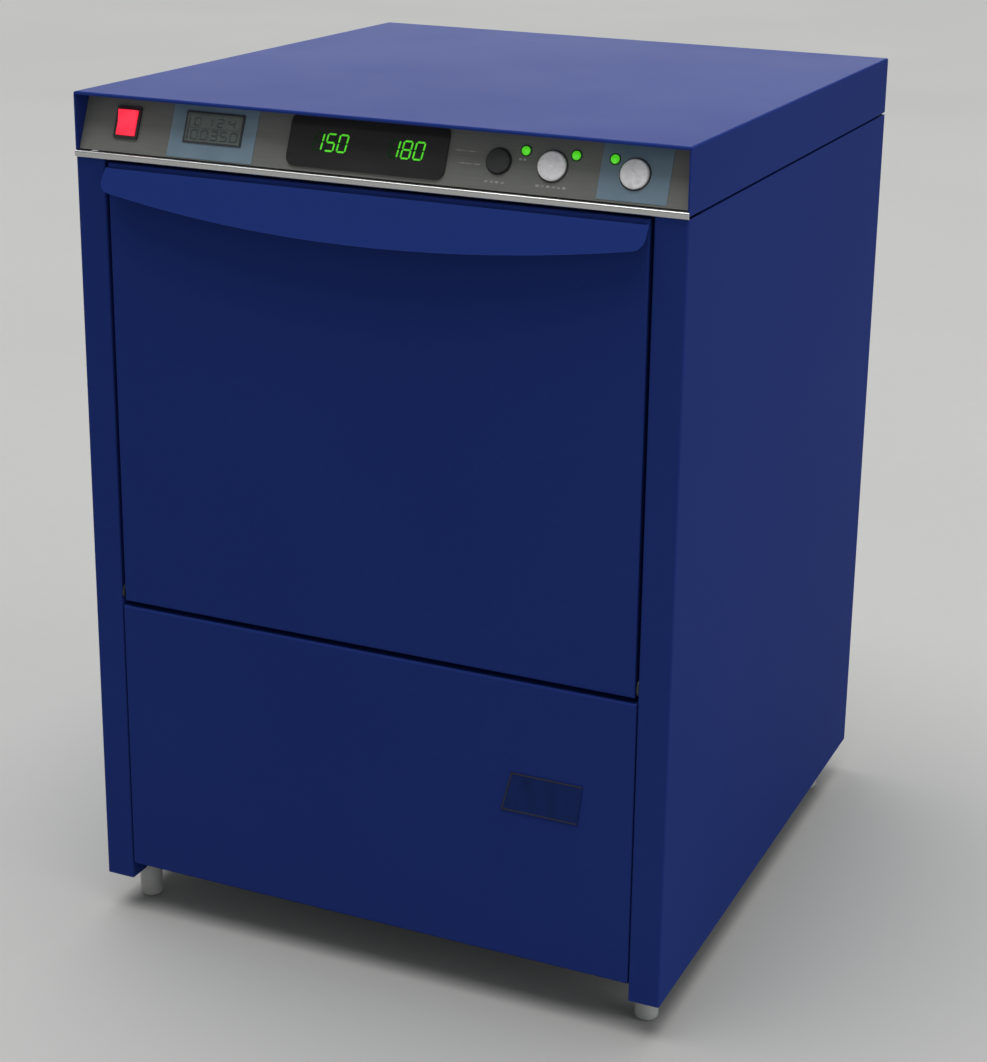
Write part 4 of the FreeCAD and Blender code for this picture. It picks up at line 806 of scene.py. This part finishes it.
def strainer():
    """Two perforated trays with upright grips, notched round the feed pipe and the standpipe."""
    low, high = (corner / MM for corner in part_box("tank_strainer"))
    sheet = (low.z, low.z + SHEET)
    notch_radius, half_turn, seam_half = 20, 88.57, 0.5
    pitch, hole_radius, margin = 16, 3.2, 10
    shape = bmesh.new()
    for side, edge in ((-1, -low.x), (1, high.x)):
        turns = [math.radians(half_turn * (i / 8 - 1)) for i in range(17)]
        notch = [(notch_radius * side * math.cos(a), notch_radius * math.sin(a)) for a in turns]
        outline = [(seam_half * side, low.y), *notch, (seam_half * side, high.y), (side * edge, high.y),
                   (side * edge, low.y)]
        across = sorted((side * 12, side * (edge - 9)))
        holes = tray_holes(across, (low.y + margin, high.y - margin), pitch, hole_radius)
        if side > 0:
            holes.append((*STANDPIPE, notch_radius))
        perforated(shape, outline, holes, *sheet)
        grip = sorted(side * end for end in GRIP_SPAN)
        slab(shape, grip, (GRIP_ROW - 1, GRIP_ROW + 0.5), (sheet[1] - 0.2, high.z), 0.5)
    trays = piece("strainer_trays", shape, LOOKS["stainless_level"])
    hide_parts("tank_strainer")


def spray_jets():
    """Raised jets: on top of the lower pair of arms, underneath the upper pair."""
    for name, heading, way, reach, radius, inset in (
            ("lower_wash_arm", 12, 1, 240, 4.0, 2.5), ("lower_rinse_arm", 78, 1, 215, 2.2, 1.5),
            ("upper_wash_arm", -35, -1, 240, 4.0, 2.5), ("upper_rinse_arm", 60, -1, 215, 2.2, 1.5)):
        low, high = (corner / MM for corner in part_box(name))
        face = high.z - inset if way > 0 else low.z + inset
        shape = bmesh.new()
        profile = [(0, -0.4), (radius, -0.4), (radius, 0.7), (0.8 * radius, 1.1), (0.45 * radius, 1.1),
                   (0.45 * radius, 0.2), (0, 0.2)]
        flip = Matrix.Rotation(0 if way > 0 else math.pi, 4, "X")
        turned = Matrix.Rotation(math.radians(heading), 4, "Z")
        for end in (-1, 1):
            for step in range(6):
                out = end * reach * (0.19 + 0.145 * step)
                lathe(shape, profile, turned @ at(out, 0, face) @ flip, 20)
        slot = SLOTS[name]
        piece(f"{name}_jets", shape, LOOKS[slot], body=name, smooth=True)


# ---------------------------------------------------------------- pieces under the chamber and behind

def hose_clip(shape, place, radius):
    """Steel band with its tightening screw."""
    ring(shape, radius - 0.3, radius + 1.1, -4.5, 4.5, place)
    screw = place @ at(radius + 2.4, 0, 0) @ Matrix.Rotation(math.pi / 2, 4, "X")
    lathe(shape, [(0, -6), (2.6, -6), (2.6, 4), (3.3, 4.3), (3.3, 6.5), (0, 6.5)], screw, 12)


def hose_clips():
    low, high = (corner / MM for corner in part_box("drain_spigot"))
    level, across = (low.z + high.z) / 2, (low.x + high.x) / 2
    shape = bmesh.new()
    for place in (along("X", 54, *PUMP_AXIS), along("Z", 90, PUMP_AXIS[0], 240), along("Y", 0, 67, 192),
                  along("Z", 0, 0, 807)):
        hose_clip(shape, place, HOSE_RADIUS)
    for place in (along("Z", *STANDPIPE, 213), along("Y", across, low.y - 6, level)):
        hose_clip(shape, place, DRAIN_HOSE_RADIUS)
    piece("hose_clips", shape, LOOKS["stainless"], smooth=True)


def motor_fins():
    """Cooling fins round the pump motor's can."""
    shape = bmesh.new()
    first, pitch = -167, 10
    for step in range(14):
        ring(shape, 53.5, 56.5, -1, 1, along("X", first + pitch * step, *PUMP_AXIS), 64)
    piece("motor_fins", shape, LOOKS["motor_paint"], smooth=True)


def connection_details():
    """Thread on the inlet's nose, barbs on the drain spigot and ribs on the cable gland."""
    face = REAR - SERVICE_RECESS
    nose_low, nose_high = (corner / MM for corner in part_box("water_valve"))
    barb_low, barb_high = (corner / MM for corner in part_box("drain_spigot"))
    level = (barb_low.z + barb_high.z) / 2
    thread = bmesh.new()
    for turn in range(10):
        start = along("Y", (nose_low.x + nose_high.x) / 2, face + 5.5 + 2 * turn, level)
        ring(thread, 13.0, 13.7, 0, 1.1, start)
    piece("inlet_thread", thread, LOOKS[SLOTS["water_valve"]], smooth=True)
    barbs = bmesh.new()
    for turn in range(3):
        start = along("Y", (barb_low.x + barb_high.x) / 2, face + 12 + 8 * turn, level)
        lathe(barbs, [(14.8, 0), (16, 0), (14.9, 5), (14.8, 5), (14.8, 0)], start, 48)
    piece("spigot_barbs", barbs, LOOKS[SLOTS["drain_spigot"]], smooth=True)
    gland_low, gland_high = (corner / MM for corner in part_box("cable_gland"))
    ribs = bmesh.new()
    root, crest = 13.6, 14.7
    section = ((root, -0.05), (crest, -0.035), (crest, 0.035), (root, 0.05))
    for step in range(20):
        middle = math.pi * step / 10
        arc = [(reach, middle + way) for reach, way in section]
        prism(ribs, [(reach * math.cos(a), reach * math.sin(a)) for reach, a in arc], 1, 12)
    place = plain() @ along("Y", (gland_low.x + gland_high.x) / 2, face, level)
    piece("gland_ribs", ribs, LOOKS[SLOTS["cable_gland"]], place=place)


# ---------------------------------------------------------------- scene

def camera():
    """Camera at the viewing angle: azimuth from the front towards the right side."""
    azimuth, elevation, roll = (math.radians(a) for a in (22.67, 16.89, 1.19))
    ahead = Vector((-math.sin(azimuth) * math.cos(elevation), math.cos(azimuth) * math.cos(elevation),
                    -math.sin(elevation)))
    right = ahead.cross(Vector((0, 0, 1))).normalized()
    up = right.cross(ahead)
    across = right * math.cos(roll) + up * math.sin(roll)
    upward = up * math.cos(roll) - right * math.sin(roll)
    view = bpy.data.objects.new("camera", bpy.data.cameras.new("camera"))
    view.matrix_world = Matrix((across, upward, -ahead)).transposed().to_4x4()
    view.location = (0.883, -1.976, 1.155)
    view.data.lens = 72.85
    view.data.sensor_width = 36
    view.data.shift_x = -0.0565
    view.data.shift_y = -0.113
    view.data.clip_end = 200
    bpy.context.scene.collection.objects.link(view)
    bpy.context.scene.camera = view


def lamp(name, kind, power, spot, aim=(0, 0, 0.4)):
    """Light at a spot in metres, turned towards a point."""
    light = bpy.data.lights.new(name, kind)
    light.energy = power
    item = bpy.data.objects.new(name, light)
    item.location = spot
    item.rotation_euler = (Vector(spot) - Vector(aim)).to_track_quat("Z", "Y").to_euler()
    bpy.context.scene.collection.objects.link(item)
    return item


def lights():
    """Even sky, a wide soft key from above, a low fill on the right and a bright card behind."""
    world = bpy.data.worlds.new("studio")
    world.use_nodes = True
    backdrop = world.node_tree.nodes["Background"]
    backdrop.inputs["Color"].default_value = (0.98, 0.99, 1.0, 1)
    backdrop.inputs["Strength"].default_value = 0.33
    bpy.context.scene.world = world
    key = lamp("key", "SUN", 3.75, (-0.35, -0.05, 4.4))
    key.data.angle = math.radians(58)
    fill = lamp("fill", "AREA", 55, (4.4, -0.4, 1.2))
    fill.data.size = 2.6
    fill.visible_glossy = False
    card = lamp("card", "AREA", 125, (-1.9, 4.6, 2.4), (0, 0, 0.85))
    card.data.shape = "RECTANGLE"
    card.data.size = 4.5
    card.data.size_y = 2.6
    card.visible_diffuse = False
    card.visible_camera = False


def floor():
    shape = bmesh.new()
    bmesh.ops.create_grid(shape, x_segments=8, y_segments=8, size=60)
    mesh = bpy.data.meshes.new("floor")
    shape.to_mesh(mesh)
    shape.free()
    mesh.materials.append(floor_paper())
    item = bpy.data.objects.new("floor", mesh)
    bpy.context.scene.collection.objects.link(item)


camera()
lights()
floor()
dress_cad_nodes()
read_outs()
counter_display()
printed_lines()
lamp_rings()
button_shadow_rings()
board_components()
cabinet_screws()
handle_lip()
plate_shadow_strips()
strainer()
spray_jets()
hose_clips()
motor_fins()
connection_details()
bpy.context.scene.view_settings.view_transform = "Standard"
